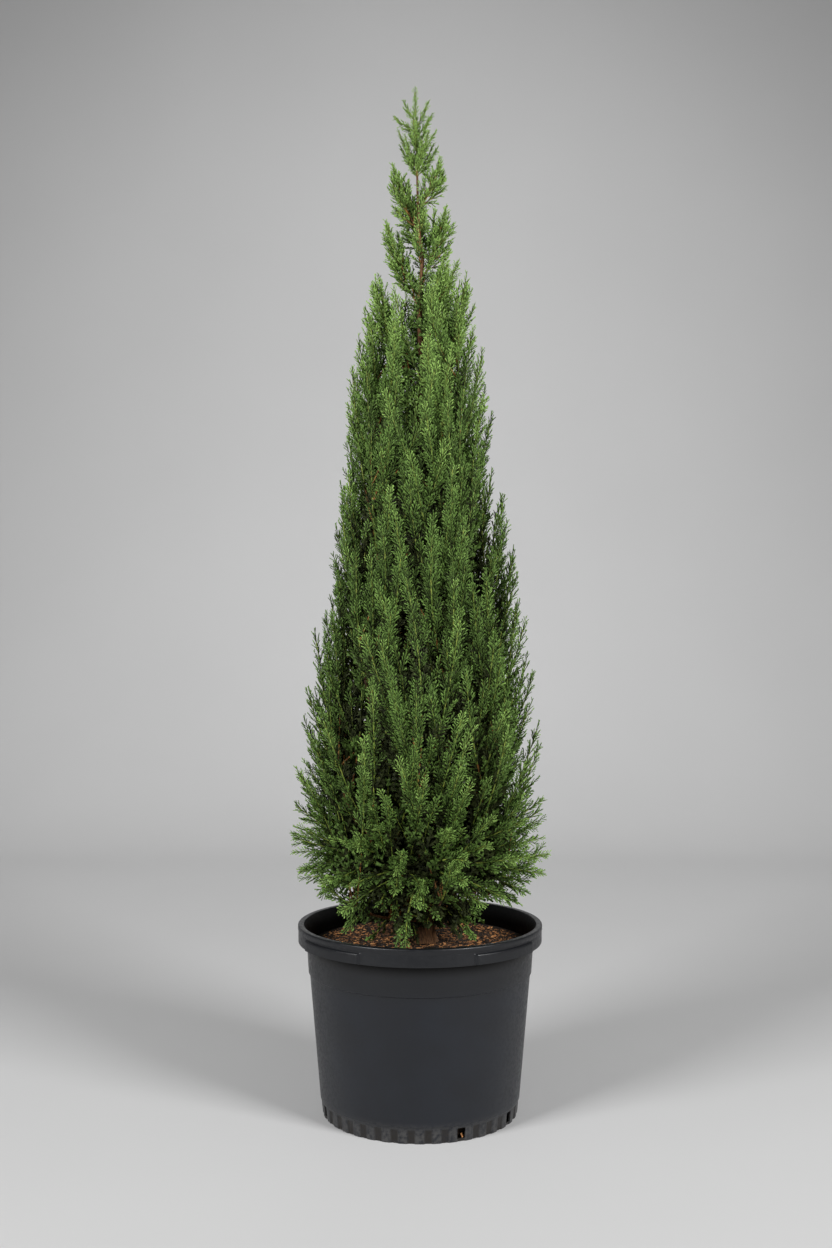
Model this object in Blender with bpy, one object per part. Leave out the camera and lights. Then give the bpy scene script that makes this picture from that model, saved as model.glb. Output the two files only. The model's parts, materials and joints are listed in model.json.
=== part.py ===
"""A juniper trained as a slim cone, standing in the black plastic pot it is sold in.

Metres, +Z up. The origin is the middle of the pot's flat underside, and -Y is the front.
The plant is a trunk, the boughs that leave it in whorls, and one mass of foliage on each bough.
"""

import math

import bmesh
import bpy
import numpy as np
from mathutils import Vector

# Gap that is left between pieces that touch in life, and the bend that stays a crisp edge.
CLEARANCE = 0.0003
CRISP_EDGE = math.radians(40.0)

# Pot, a 38 litre nursery container: radii and heights of its outside.
POT_HEIGHT = 0.3315
RIM_RADIUS = 0.215
RIM_WIDTH = 0.0105
RIM_DEPTH = 0.0305
COLLAR_TOP_RADIUS = 0.1995
COLLAR_FOOT_RADIUS = 0.1962
COLLAR_FOOT_HEIGHT = 0.2474
COLLAR_STEP = 0.0016
WALL_FOOT_RADIUS = 0.1752
FOOT_BAND_HEIGHT = 0.0287
FOOT_BAND_STEP = 0.0014
BASE_RADIUS = 0.171
BASE_CHAMFER = 0.0015
POT_WALL = 0.0026
POT_FLOOR = 0.004
POT_SIDES = 40

# Grip pads under the rim's edge, and the drain holes through the foot band (turns from the front).
PAD_CENTRES = (45.0, 135.0, 225.0, 315.0)
PAD_SPAN = 34.0
PAD_PROUD = 0.0022
PAD_HEIGHT = 0.018
DRAIN_TURNS = (25.0, 62.0, 105.0, 145.0, 185.0, 225.0, 285.0)
DRAIN_WIDTH = 0.012
DRAIN_HEIGHT = 0.017
DRAIN_SILL = 0.0055

# Potting mix, filled to a finger's width under the rim.
MIX_TOP = 0.297
MIX_ROUGHNESS = 0.0025
MIX_LEVEL_RADIUS = 0.06
MIX_SIDES = 20

# Trunk: height, radius and sideways place from the soil to its tip.
TRUNK_FOOT = MIX_TOP + CLEARANCE
TRUNK_TIP = 1.660
TRUNK_SIDES = 10
TRUNK_FOOT_RISES = (0.0, 0.006, 0.014, 0.026, 0.045, 0.075)
TRUNK_UPPER_FROM = 0.45
TRUNK_UPPER_RINGS = 12
TRUNK_RADII = ((0.30, 0.0165), (0.45, 0.0150), (0.80, 0.0105), (1.34, 0.0048), (1.66, 0.0018))
TRUNK_LEAN = ((0.30, 0.0110), (0.80, 0.0065), (1.34, 0.0018), (1.60, -0.0042), (1.80, -0.0088))
TRUNK_SWAY = 0.0022
TRUNK_SWAY_PITCH = 0.42
FLARE_RADIUS = 0.010
FLARE_HEIGHT = 0.014
FLARE_LOBES = 5
FLARE_LOBE_DEPTH = 0.35

# Crown: its outline as height and radius, from the soil to the leader's tip.
CROWN = (
    (0.300, 0.165), (0.363, 0.192), (0.423, 0.226), (0.467, 0.233), (0.564, 0.216), (0.644, 0.213),
    (0.776, 0.197), (0.900, 0.181), (1.041, 0.158), (1.130, 0.137), (1.284, 0.125), (1.430, 0.096),
    (1.580, 0.058), (1.670, 0.047), (1.727, 0.037), (1.760, 0.035), (1.785, 0.018), (1.803, 0.003),
)

# Whorls: name, boughs, first turn, foot height, tip height, tip reach, elbow reach, elbow lift and
# how far round its stem a mass carries sprays, counted from the outer side.
WHORLS = (
    ("skirt", 5, 0.0, 0.345, 0.440, 0.90, 0.60, 0.05, 360.0),
    ("low", 6, 26.0, 0.400, 0.760, 0.86, 1.02, 0.24, 260.0),
    ("middle", 5, 2.0, 0.575, 0.990, 0.86, 1.04, 0.24, 260.0),
    ("upper", 4, 40.0, 0.780, 1.195, 0.86, 1.06, 0.24, 260.0),
    ("shoulder", 3, 75.0, 0.990, 1.365, 0.82, 1.06, 0.24, 260.0),
)
TURN_JITTER = 5.0
HEIGHT_JITTER = 0.018
BOUGH_SHARE = 0.22
BOUGH_SIDES = 5
BOUGH_RINGS = 3
BOUGH_RADIUS_PER_LENGTH = 0.016
BOUGH_TAPER = 0.70

# Tufts near the top that sit on the trunk itself: name, foot height, and the tip's place.
TUFTS = (
    ("top_left_low", 1.270, (-0.083, -0.012, 1.469)),
    ("top_right_low", 1.225, (0.084, 0.016, 1.474)),
    ("top_back_low", 1.300, (0.004, 0.074, 1.505)),
    ("top_front", 1.350, (0.050, -0.036, 1.500)),
    ("top_left", 1.421, (-0.058, 0.004, 1.575)),
    ("top_right", 1.470, (0.046, -0.008, 1.596)),
    ("top_back", 1.505, (-0.012, 0.044, 1.630)),
    ("crest_left", 1.553, (-0.048, 0.002, 1.674)),
    ("crest_right", 1.590, (0.036, -0.006, 1.682)),
)
TUFT_ELBOW_REACH = 0.72
TUFT_ELBOW_LIFT = 0.42
TUFT_FAN = 360.0
LEADER_TIP = (-0.0088, 0.0, 1.798)

# Foliage: three-sided twigs that carry toothed sprays, round a slim core in the denser masses.
STEM_TIP_RADIUS = 0.0010
STEM_POINTS = 4
TWIG_SPREAD = math.radians(38.0)
TWIG_LENGTH_SHARE = 0.34
TWIG_TRIES = 6
TWIG_STATIONS = (0.15, 0.70)
CORE_RADIUS = 0.036
CORE_SIDES = 5
CORE_STATIONS = (0.05, 0.23, 0.49, 0.86)
CORE_BULGE = (0.25, 0.85, 1.00, 0.12)
SPACE_MARGIN = 0.0016
LIMB_MARGIN = 0.0016
GOLDEN_TURN = math.radians(137.5)
OUTER_TURN = math.radians(-90.0)

# Spray: half of its outline from root to tip, as shares of its length and of its half width.
SPRAY_TEETH = ((0.50, 1.00), (0.44, 0.44), (0.78, 0.74), (0.66, 0.28))
SPRAY_RIDGE = 0.24
SPRAY_WIDTH = 0.50
SPRAY_THICKNESS = 0.026
SPRAY_LENGTHS = (0.165, 0.147, 0.131, 0.117, 0.104, 0.093, 0.083, 0.074, 0.066, 0.059, 0.052, 0.046)
SPRAY_SPREAD = math.radians(27.0)
SPRAY_ROLL = math.radians(32.0)
SPRAY_APART = 0.19
SPRAY_SINK = 0.003
SPRAY_STATIONS = (0.15, 0.85)
TIP_SPRAY_STATION = 0.96
CORE_SINK = 0.40
TRIES_PER_SPRAY = 5

# Whorled masses and tufts: sprays, the longest of them, twigs, and the core's share of its room.
WHORL_MASS = (8, 0.165, 2, 0.75)
TUFT_MASS = (6, 0.093, 1, 0.0)


def clear_scene():
    """Empties the scene that the script is run in."""
    for item in list(bpy.data.objects):
        bpy.data.objects.remove(item)


def make_material(name, colour, roughness):
    """A plain finish; the colour is linear."""
    material = bpy.data.materials.new(name)
    material.use_nodes = True
    shader = material.node_tree.nodes["Principled BSDF"]
    shader.inputs["Base Color"].default_value = (*colour, 1.0)
    shader.inputs["Roughness"].default_value = roughness
    shader.inputs["Metallic"].default_value = 0.0
    return material


def add_object(name, points, faces, material=None):
    """A mesh object of triangles that are made to point outwards."""
    mesh = bpy.data.meshes.new(name)
    mesh.from_pydata([tuple(point) for point in points], [], faces)
    work = bmesh.new()
    work.from_mesh(mesh)
    bmesh.ops.recalc_face_normals(work, faces=work.faces)
    bmesh.ops.triangulate(work, faces=work.faces)
    work.to_mesh(mesh)
    work.free()
    if material:
        mesh.materials.append(material)
    item = bpy.data.objects.new(name, mesh)
    bpy.context.scene.collection.objects.link(item)
    return item


def shade_round(item):
    """Smooth shading on a round piece, its edges kept crisp."""
    item.data.shade_smooth()
    item.data.set_sharp_from_angle(angle=CRISP_EDGE)


def tidy_mesh(mesh):
    """Splits a joined mesh into triangles and drops loose scraps and sealed hollows.

    Returns True where what is left is closed, with two faces on every edge.
    """
    for way in ("BEAUTY", "EAR_CLIP"):
        work = bmesh.new()
        work.from_mesh(mesh)
        bmesh.ops.triangulate(work, faces=work.faces, ngon_method=way)
        closed = all(len(edge.link_faces) == 2 for edge in work.edges)
        if closed:
            break
        work.free()
    if not closed:
        return False
    shells = []
    seen = set()
    for start in work.faces:
        if start in seen:
            continue
        shell = [start]
        seen.add(start)
        for face in shell:
            near = {other for edge in face.edges for other in edge.link_faces} - seen
            seen |= near
            shell.extend(sorted(near, key=lambda other: other.index))
        shells.append(shell)
    shells.sort(key=lambda shell: sum(face.calc_area() for face in shell))
    scraps = [face for shell in shells[:-1] for face in shell]
    bmesh.ops.delete(work, geom=scraps, context="FACES")
    work.to_mesh(mesh)
    work.free()
    return True


def solved(item, boolean):
    """The closed mesh that a Boolean gives, by whichever solver manages it, or None."""
    for solver in ("EXACT", "MANIFOLD"):
        boolean.solver = solver
        depsgraph = bpy.context.evaluated_depsgraph_get()
        mesh = bpy.data.meshes.new_from_object(item.evaluated_get(depsgraph))
        if tidy_mesh(mesh):
            return mesh
        bpy.data.meshes.remove(mesh)
    return None


def combine(item, others, operation):
    """Joins or cuts an object with a group of others, which are then removed.

    Where the whole group gives no closed mesh, the one object that spoils it is left out.
    """
    group = bpy.data.collections.new(item.name + "_group")
    bpy.context.scene.collection.children.link(group)
    for other in others:
        bpy.context.scene.collection.objects.unlink(other)
        group.objects.link(other)
    boolean = item.modifiers.new("combine", "BOOLEAN")
    boolean.operand_type = "COLLECTION"
    boolean.collection = group
    boolean.operation = operation
    joined = solved(item, boolean)
    for other in reversed(others):
        if joined:
            break
        group.objects.unlink(other)
        joined = solved(item, boolean)
        if not joined:
            group.objects.link(other)
    item.modifiers.clear()
    item.data = joined
    joined.name = item.name
    for other in others:
        bpy.data.objects.remove(other)
    bpy.data.collections.remove(group)


def turned(profile, sides):
    """Points and faces of an outline of (radius, height) turned about Z, both its ends on the axis."""
    points = []
    faces = []
    rings = []
    for radius, height in profile:
        if radius == 0.0:
            rings.append([len(points)])
            points.append((0.0, 0.0, height))
            continue
        rings.append(list(range(len(points), len(points) + sides)))
        for side in range(sides):
            turn = 2.0 * math.pi * side / sides
            points.append((radius * math.cos(turn), radius * math.sin(turn), height))
    for lower, upper in zip(rings, rings[1:]):
        for side in range(sides):
            after = (side + 1) % sides
            corners = [lower[side % len(lower)], lower[after % len(lower)],
                       upper[after % len(upper)], upper[side % len(upper)]]
            faces.append(list(dict.fromkeys(corners)))
    return points, faces


def front_turn(degrees_from_front):
    """Angle about +Z of a place counted from the front towards the right."""
    return math.radians(degrees_from_front - 90.0)


def arc_block(name, inner, outer, bottom, top, centre, span, steps):
    """A closed block that follows the pot's wall over a span of degrees."""
    points = []
    for step in range(steps + 1):
        turn = front_turn(centre + span * (step / steps - 0.5))
        for radius, height in ((inner, bottom), (outer, bottom), (outer, top), (inner, top)):
            points.append((radius * math.cos(turn), radius * math.sin(turn), height))
    faces = [[0, 1, 2, 3], [4 * steps + corner for corner in (3, 2, 1, 0)]]
    for step in range(steps):
        for corner in range(4):
            after = (corner + 1) % 4
            near = 4 * step
            far = near + 4
            faces.append([near + corner, near + after, far + after, far + corner])
    return add_object(name, points, faces)


def make_pot(material):
    """Moulded pot: tapered wall, stepped collar, rim folded out and down, pads and drain holes."""
    rim_foot = POT_HEIGHT - RIM_DEPTH
    inner_rim = RIM_RADIUS - RIM_WIDTH
    collar_inner = COLLAR_FOOT_RADIUS - POT_WALL
    profile = [
        (0.0, 0.0),
        (BASE_RADIUS - BASE_CHAMFER, 0.0),
        (BASE_RADIUS, BASE_CHAMFER),
        (WALL_FOOT_RADIUS - FOOT_BAND_STEP, FOOT_BAND_HEIGHT),
        (WALL_FOOT_RADIUS, FOOT_BAND_HEIGHT + 0.0006),
        (COLLAR_FOOT_RADIUS - COLLAR_STEP, COLLAR_FOOT_HEIGHT - 0.0008),
        (COLLAR_FOOT_RADIUS, COLLAR_FOOT_HEIGHT + 0.0008),
        (COLLAR_TOP_RADIUS, rim_foot + 0.004),
        (inner_rim + 0.0010, POT_HEIGHT - 0.0050),
        (RIM_RADIUS - POT_WALL, POT_HEIGHT - 0.0040),
        (RIM_RADIUS - POT_WALL - 0.0006, rim_foot),
        (RIM_RADIUS - 0.0006, rim_foot),
        (RIM_RADIUS, POT_HEIGHT - 0.0025),
        (RIM_RADIUS - 0.0022, POT_HEIGHT),
        (inner_rim + 0.0015, POT_HEIGHT),
        (inner_rim, POT_HEIGHT - 0.0020),
        (collar_inner + 0.0028, rim_foot + 0.004),
        (collar_inner, COLLAR_FOOT_HEIGHT),
        (BASE_RADIUS - POT_WALL, POT_FLOOR),
        (0.0, POT_FLOOR),
    ]
    points, faces = turned(profile, POT_SIDES)
    pot = add_object("pot", points, faces, material)
    pads = [
        arc_block(f"pad_{number}", RIM_RADIUS - 0.0015, RIM_RADIUS + PAD_PROUD, rim_foot + 0.0006,
                  rim_foot + PAD_HEIGHT, centre, PAD_SPAN, 4)
        for number, centre in enumerate(PAD_CENTRES)
    ]
    combine(pot, pads, "UNION")
    width = math.degrees(DRAIN_WIDTH / BASE_RADIUS)
    drains = [
        arc_block(f"drain_{number}", BASE_RADIUS - 0.009, BASE_RADIUS + 0.009, DRAIN_SILL,
                  DRAIN_SILL + DRAIN_HEIGHT, centre, width, 1)
        for number, centre in enumerate(DRAIN_TURNS)
    ]
    combine(pot, drains, "DIFFERENCE")
    shade_round(pot)


def make_potting_mix(material):
    """Bark-based mix that fills the pot, with an uneven top that is level under the trunk."""
    draw = np.random.default_rng(11)
    gap = POT_WALL + 2.0 * CLEARANCE + 0.0006
    profile = [
        (0.0, POT_FLOOR + CLEARANCE),
        (BASE_RADIUS - gap - 0.0020, POT_FLOOR + CLEARANCE),
        (COLLAR_FOOT_RADIUS - gap - 0.0010, COLLAR_FOOT_HEIGHT),
        (COLLAR_TOP_RADIUS - gap - 0.0016, MIX_TOP - 0.002),
        (0.165, MIX_TOP - 0.001),
        (0.120, MIX_TOP - 0.001),
        (0.080, MIX_TOP),
        (0.045, MIX_TOP),
        (0.0, MIX_TOP),
    ]
    points, faces = turned(profile, MIX_SIDES)
    for index, (x, y, z) in enumerate(points):
        if z > MIX_TOP - 0.01 and math.hypot(x, y) > MIX_LEVEL_RADIUS:
            points[index] = (x, y, z - MIX_ROUGHNESS * draw.random())
    shade_round(add_object("potting_mix", points, faces, material))


def trunk_radius(height):
    """Radius of the trunk without its root flare."""
    return float(np.interp(height, *zip(*TRUNK_RADII)))


def flare(height):
    """How far the root flare stands out at a height."""
    return FLARE_RADIUS * math.exp(-(height - TRUNK_FOOT) / FLARE_HEIGHT)


def trunk_centre(height):
    """Middle of the trunk at a height: a slight lean with a slow sway."""
    sway = 2.0 * math.pi * height / TRUNK_SWAY_PITCH
    fade = min(1.0, max(0.0, (1.70 - height) / 0.4))
    x = float(np.interp(height, *zip(*TRUNK_LEAN))) + TRUNK_SWAY * fade * math.sin(sway)
    y = TRUNK_SWAY * fade * math.cos(sway)
    return Vector((x, y, height))


def crown_radius(height):
    """Radius of the crown's outline at a height."""
    return float(np.interp(height, *zip(*CROWN)))


def crown_centre(height):
    """Middle of the crown at a height: upright below, and on the trunk near the top."""
    share = min(1.0, max(0.0, (height - 1.2) / 0.4))
    return Vector((share * trunk_centre(height).x, 0.0, height))


def trunk_heights():
    """Heights of the trunk's rings, close together over the roots' flare."""
    upper = np.linspace(TRUNK_UPPER_FROM, TRUNK_TIP, TRUNK_UPPER_RINGS)
    return [TRUNK_FOOT + rise for rise in TRUNK_FOOT_RISES] + [float(height) for height in upper]


def trunk_ring(height):
    """Points round the trunk at a height."""
    centre = trunk_centre(height)
    points = []
    for side in range(TRUNK_SIDES):
        turn = 2.0 * math.pi * side / TRUNK_SIDES
        lobes = 1.0 - FLARE_LOBE_DEPTH * (1.0 - math.cos(FLARE_LOBES * turn))
        radius = trunk_radius(height) + flare(height) * lobes
        points.append(centre + Vector((radius * math.cos(turn), radius * math.sin(turn), 0.0)))
    return points


def trunk_reach(out, height):
    """How far the trunk's flat-sided surface reaches along a direction at a height."""
    heights = trunk_heights()
    upper = int(np.clip(np.searchsorted(heights, height), 1, len(heights) - 1))
    lower = upper - 1
    share = (height - heights[lower]) / (heights[upper] - heights[lower])
    edges = zip(trunk_ring(heights[lower]), trunk_ring(heights[upper]))
    return max(near.lerp(far, share).dot(out) for near, far in edges)


def make_trunk(material):
    """Whole trunk, cut flat at the soil, with the roots' flare at its foot."""
    heights = trunk_heights()
    points = []
    faces = []
    for ring, height in enumerate(heights):
        points.extend(trunk_ring(height))
        if ring:
            first = (ring - 1) * TRUNK_SIDES
            for side in range(TRUNK_SIDES):
                after = (side + 1) % TRUNK_SIDES
                faces.append([first + side, first + after, first + TRUNK_SIDES + after,
                              first + TRUNK_SIDES + side])
    last = (len(heights) - 1) * TRUNK_SIDES
    faces.append(list(range(TRUNK_SIDES))[::-1])
    faces.append([last + side for side in range(TRUNK_SIDES)])
    shade_round(add_object("trunk", points, faces, material))


def bezier(start, elbow, end, share):
    """Point at a share of a bent limb."""
    rest = 1.0 - share
    return rest * rest * start + 2.0 * rest * share * elbow + share * share * end


def limb_path(start, elbow, end, first, last, count):
    """Points along part of a bent limb."""
    return [bezier(start, elbow, end, float(share)) for share in np.linspace(first, last, count)]


def frame_across(direction):
    """Two unit vectors across a direction, the first one level."""
    level = direction.cross(Vector((0.0, 0.0, 1.0)))
    if level.length < 1e-4:
        level = Vector((1.0, 0.0, 0.0))
    level.normalize()
    return level, level.cross(direction).normalized()


def tube(path, radii, sides, foot_normal=None, tip_normal=None):
    """Points and faces of a tapering limb, each end cut square or along a given plane."""
    points = []
    faces = []
    last = len(path) - 1
    for ring, (centre, radius) in enumerate(zip(path, radii)):
        direction = (path[min(ring + 1, last)] - path[max(ring - 1, 0)]).normalized()
        level, upright = frame_across(direction)
        cut = foot_normal if ring == 0 else tip_normal if ring == last else None
        for side in range(sides):
            turn = 2.0 * math.pi * side / sides
            offset = float(radius) * (math.cos(turn) * level + math.sin(turn) * upright)
            if cut:
                offset -= direction * (offset.dot(cut) / direction.dot(cut))
            points.append(centre + offset)
        if ring:
            first = (ring - 1) * sides
            for side in range(sides):
                after = (side + 1) % sides
                faces.append([first + side, first + after, first + sides + after, first + sides + side])
    faces.append(list(range(sides))[::-1])
    faces.append([last * sides + side for side in range(sides)])
    return points, faces


class Limb:
    """A bough with the foliage stem that goes on from it, or a tuft's stem on the trunk."""

    def __init__(self, name, foot_height, tip, elbow_reach, elbow_lift, fan, has_bough):
        self.name = name
        self.fan = math.radians(fan)
        self.has_bough = has_bough
        middle = trunk_centre(foot_height)
        tip = Vector(tip)
        away = Vector((tip.x - middle.x, tip.y - middle.y, 0.0))
        self.out = away.normalized()
        reach = away.length
        rise = tip.z - foot_height
        length = math.hypot(reach, rise)
        self.bough_radius = length * BOUGH_RADIUS_PER_LENGTH
        self.stem_radius = self.bough_radius * BOUGH_TAPER
        foot_radius = self.bough_radius if has_bough else self.stem_radius
        span = (foot_height - 2.0 * foot_radius, foot_height, foot_height + 2.0 * foot_radius)
        reached = max(trunk_reach(self.out, height) for height in span)
        self.start = middle + self.out * (reached + CLEARANCE - middle.dot(self.out))
        self.elbow = middle + self.out * (reach * elbow_reach) + Vector((0.0, 0.0, rise * elbow_lift))
        self.end = tip
        self.split = BOUGH_SHARE if has_bough else 0.0
        self.bough = limb_path(self.start, self.elbow, self.end, 0.0, BOUGH_SHARE, BOUGH_RINGS)
        self.stem = limb_path(self.start, self.elbow, self.end, self.split, 1.0, STEM_POINTS)
        self.stem_normal = self.out
        if has_bough:
            along = (1.0 - BOUGH_SHARE) * (self.elbow - self.start) + BOUGH_SHARE * (self.end - self.elbow)
            self.stem_normal = along.normalized()
            self.stem[0] = self.stem[0] + self.stem_normal * CLEARANCE


def plan_limbs():
    """Every bough and tuft, from the whorls at the soil to the crest."""
    draw = np.random.default_rng(5)
    limbs = []
    for name, count, first_turn, foot, top, tip_reach, reach, lift, fan in WHORLS:
        for number in range(count):
            turn = math.radians(first_turn + 360.0 * number / count + TURN_JITTER * draw.uniform(-1, 1))
            rise = float(HEIGHT_JITTER * draw.uniform(-1, 1))
            height = top + rise
            radius = crown_radius(height) * tip_reach
            centre = crown_centre(height)
            tip = centre + Vector((radius * math.cos(turn), radius * math.sin(turn), 0.0))
            limbs.append(Limb(f"{name}_{number + 1}", foot + 0.5 * rise, tip, reach, lift, fan, True))
    for name, foot, tip in TUFTS:
        limbs.append(Limb(name, foot, tip, TUFT_ELBOW_REACH, TUFT_ELBOW_LIFT, TUFT_FAN, False))
    return limbs


def make_bough(limb, material):
    """One tapering bough, its foot cut to lie along the trunk."""
    radii = np.linspace(limb.bough_radius, limb.stem_radius, BOUGH_RINGS)
    points, faces = tube(limb.bough, radii, BOUGH_SIDES, limb.out, limb.stem_normal)
    shade_round(add_object(f"bough_{limb.name}", points, faces, material))


def distance_to_path(points, path):
    """Distance from each point to a line through several points."""
    best = np.full(len(points), 1e9)
    for start, end in zip(path[:-1], path[1:]):
        along = end - start
        share = np.clip((points - start) @ along / max(along @ along, 1e-12), 0.0, 1.0)
        near = start + share[:, None] * along
        best = np.minimum(best, np.linalg.norm(points - near, axis=1))
    return best


class Space:
    """Says whether points lie in one mass's own space, inside the crown and clear of all limbs."""

    def __init__(self, stems, limbs):
        self.stems = [np.array([tuple(point) for point in stem]) for stem in stems]
        self.boughs = [
            (np.array([tuple(point) for point in limb.bough]), limb.bough_radius)
            for limb in limbs if limb.has_bough
        ]
        heights = np.linspace(TRUNK_FOOT, TRUNK_TIP, 60)
        self.trunk = np.array([tuple(trunk_centre(height)) for height in heights])

    def slack(self, points, own):
        """How far each point lies inside the space; below zero it is outside."""
        from_own = distance_to_path(points, self.stems[own])
        room = np.full(len(points), 1e9)
        for number, stem in enumerate(self.stems):
            if number != own:
                room = np.minimum(room, (distance_to_path(points, stem) - from_own - SPACE_MARGIN) / 2.0)
        for path, radius in self.boughs:
            room = np.minimum(room, distance_to_path(points, path) - radius - LIMB_MARGIN)
        heights = points[:, 2]
        trunk_radii = np.interp(heights, *zip(*TRUNK_RADII))
        trunk_radii += FLARE_RADIUS * np.exp(-(heights - TRUNK_FOOT) / FLARE_HEIGHT)
        from_trunk = distance_to_path(points, self.trunk)
        room = np.minimum(room, from_trunk - trunk_radii - LIMB_MARGIN)
        centres = np.array([crown_centre(height).x for height in heights])
        radii = np.hypot(points[:, 0] - centres, points[:, 1])
        room = np.minimum(room, np.interp(heights, *zip(*CROWN)) - radii)
        in_pot = heights < POT_HEIGHT + LIMB_MARGIN
        pot_room = COLLAR_TOP_RADIUS - POT_WALL - LIMB_MARGIN - radii
        room = np.where(in_pot, np.minimum(room, pot_room), room)
        return np.minimum(room, heights - MIX_TOP - 2.0 * LIMB_MARGIN)


def spray_shape(root, direction, across, length):
    """Points and faces of one toothed spray, thickest at its ridge and sharp at its edge."""
    normal = direction.cross(across).normalized()
    half = 0.5 * SPRAY_WIDTH * length
    outline = [root]
    outline += [root + direction * (along * length) + across * (wide * half) for along, wide in SPRAY_TEETH]
    outline += [root + direction * length]
    outline += [root + direction * (along * length) - across * (wide * half)
                for along, wide in reversed(SPRAY_TEETH)]
    ridge = root + direction * (SPRAY_RIDGE * length)
    thick = 0.5 * SPRAY_THICKNESS * length
    count = len(outline)
    points = outline + [ridge + normal * thick, ridge - normal * thick]
    faces = []
    for corner in range(count):
        after = (corner + 1) % count
        faces.append([corner, after, count])
        faces.append([after, corner, count + 1])
    return points, faces


def keeps_apart(root, heading, length, others):
    """True where a spray's outer half stays clear of the middle lines of the sprays made so far."""
    if not others:
        return True
    mine = np.array([tuple(root + heading * (length * share)) for share in (0.5, 0.75, 1.0)])
    return min(distance_to_path(mine, line).min() for line in others) > SPRAY_APART * length


def samples_of(points, corners):
    """The outline's corners with points between them, for testing against a space."""
    rows = np.array([tuple(point) for point in points])
    ring = rows[:corners]
    after = np.roll(ring, -1, axis=0)
    parts = [rows]
    for share in (0.25, 0.5, 0.75):
        parts.append(ring * (1.0 - share) + after * share)
    return np.concatenate(parts)


def point_along(path, share):
    """Point and heading at a share of a path."""
    place = share * (len(path) - 1)
    first = min(int(place), len(path) - 2)
    heading = (path[first + 1] - path[first]).normalized()
    return path[first].lerp(path[first + 1], place - first), heading


def spread_from(heading, turn, angle):
    """A heading that leans away from another by an angle, at a turn about it."""
    level, upright = frame_across(heading)
    side = math.cos(turn) * level + math.sin(turn) * upright
    return (heading * math.cos(angle) + side * math.sin(angle)).normalized()


def fitting_spray(space, own, root, heading, roll, longest, others):
    """The longest spray that stays in the mass's space and off its neighbours, or None."""
    away = root - crown_centre(root.z)
    away.z = 0.0
    across = heading.cross(away).normalized()
    across = math.cos(roll) * across + math.sin(roll) * heading.cross(across)
    foot = root - heading * SPRAY_SINK
    for length in SPRAY_LENGTHS:
        if length > longest or not keeps_apart(foot, heading, length, others):
            continue
        points, faces = spray_shape(foot, heading, across, length)
        corners = len(points) - 2
        tested = samples_of(points[1:], corners - 1)
        if space.slack(tested, own).min() > 0.0:
            others.append(np.array([tuple(foot + heading * (0.3 * length)), tuple(foot + heading * length)]))
            return points, faces
    return None


def grow_twigs(limb, own, space, twig_count, draw):
    """Side twigs of a stem: each one's path and its radius."""
    stem = limb.stem
    length = sum((far - near).length for near, far in zip(stem, stem[1:]))
    turn = draw.uniform(0.0, 2.0 * math.pi)
    twigs = []
    for number in range(twig_count):
        first, last = TWIG_STATIONS
        share = first + (last - first) * number / max(1, twig_count - 1)
        root, heading = point_along(stem, share)
        twig_length = length * TWIG_LENGTH_SHARE * draw.uniform(0.85, 1.10)
        for _ in range(TWIG_TRIES):
            turn += GOLDEN_TURN
            leave = spread_from(heading, turn, TWIG_SPREAD)
            path = [root, root + leave * twig_length]
            tested = np.array([tuple(root + leave * (twig_length * part)) for part in (0.3, 0.6, 1.0)])
            if space.slack(tested, own).min() > 2.0 * SPACE_MARGIN:
                twigs.append((path, 0.7 * limb.stem_radius * (1.0 - 0.6 * share)))
                break
            twig_length *= 0.85
    return twigs


def core_radii(stem, own, space, core_share):
    """Radii of a mass's core at its stations, as fat as its share of the space allows."""
    radii = []
    for share, bulge in zip(CORE_STATIONS, CORE_BULGE):
        centre = point_along(stem, share)[0]
        room = space.slack(np.array([tuple(centre)]), own)[0]
        radii.append(max(STEM_TIP_RADIUS, min(CORE_RADIUS, room * core_share) * bulge))
    return radii


def make_mass(limb, own, space, material, spray_count, longest, twig_count, core_share):
    """One mass of foliage: a stem, its twigs, the sprays that they carry and a slim core."""
    draw = np.random.default_rng(100 + own)
    stem = limb.stem
    radii = np.linspace(limb.stem_radius, STEM_TIP_RADIUS, STEM_POINTS)
    body = add_object(f"foliage_{limb.name}", *tube(stem, radii, 3, limb.stem_normal), material)
    core = core_radii(stem, own, space, core_share)
    pieces = []
    if core_share:
        path = [point_along(stem, share)[0] for share in CORE_STATIONS]
        pieces.append(add_object("core", *tube(path, core, CORE_SIDES)))
    carriers = [(stem, limb.stem_radius)]
    for path, radius in grow_twigs(limb, own, space, twig_count, draw):
        pieces.append(add_object("twig", *tube(path, (radius, STEM_TIP_RADIUS), 3)))
        carriers.append((path, radius))
    stations = [(path, TIP_SPRAY_STATION, 0.0) for path, radius in carriers]
    for step in range(TRIES_PER_SPRAY * spray_count):
        path, radius = carriers[step % len(carriers)]
        stations.append((path, draw.uniform(*SPRAY_STATIONS), SPRAY_SPREAD))
    turn = draw.uniform(0.0, 2.0 * math.pi)
    lines = []
    for path, share, spread in stations:
        if len(lines) == spray_count:
            break
        root, heading = point_along(path, share)
        turn = (turn + GOLDEN_TURN) % (2.0 * math.pi)
        outer_turn = OUTER_TURN + limb.fan * (turn / (2.0 * math.pi) - 0.5)
        leave = heading
        if spread:
            leave = spread_from(heading, outer_turn, spread)
            if path is stem:
                depth = CORE_SINK * float(np.interp(share, CORE_STATIONS, core))
                root = root + leave * (depth / math.sin(spread))
        roll = SPRAY_ROLL * draw.uniform(-1.0, 1.0)
        shape = fitting_spray(space, own, root, leave, roll, longest, lines)
        if shape:
            pieces.append(add_object("spray", *shape))
    combine(body, pieces, "UNION")


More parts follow.
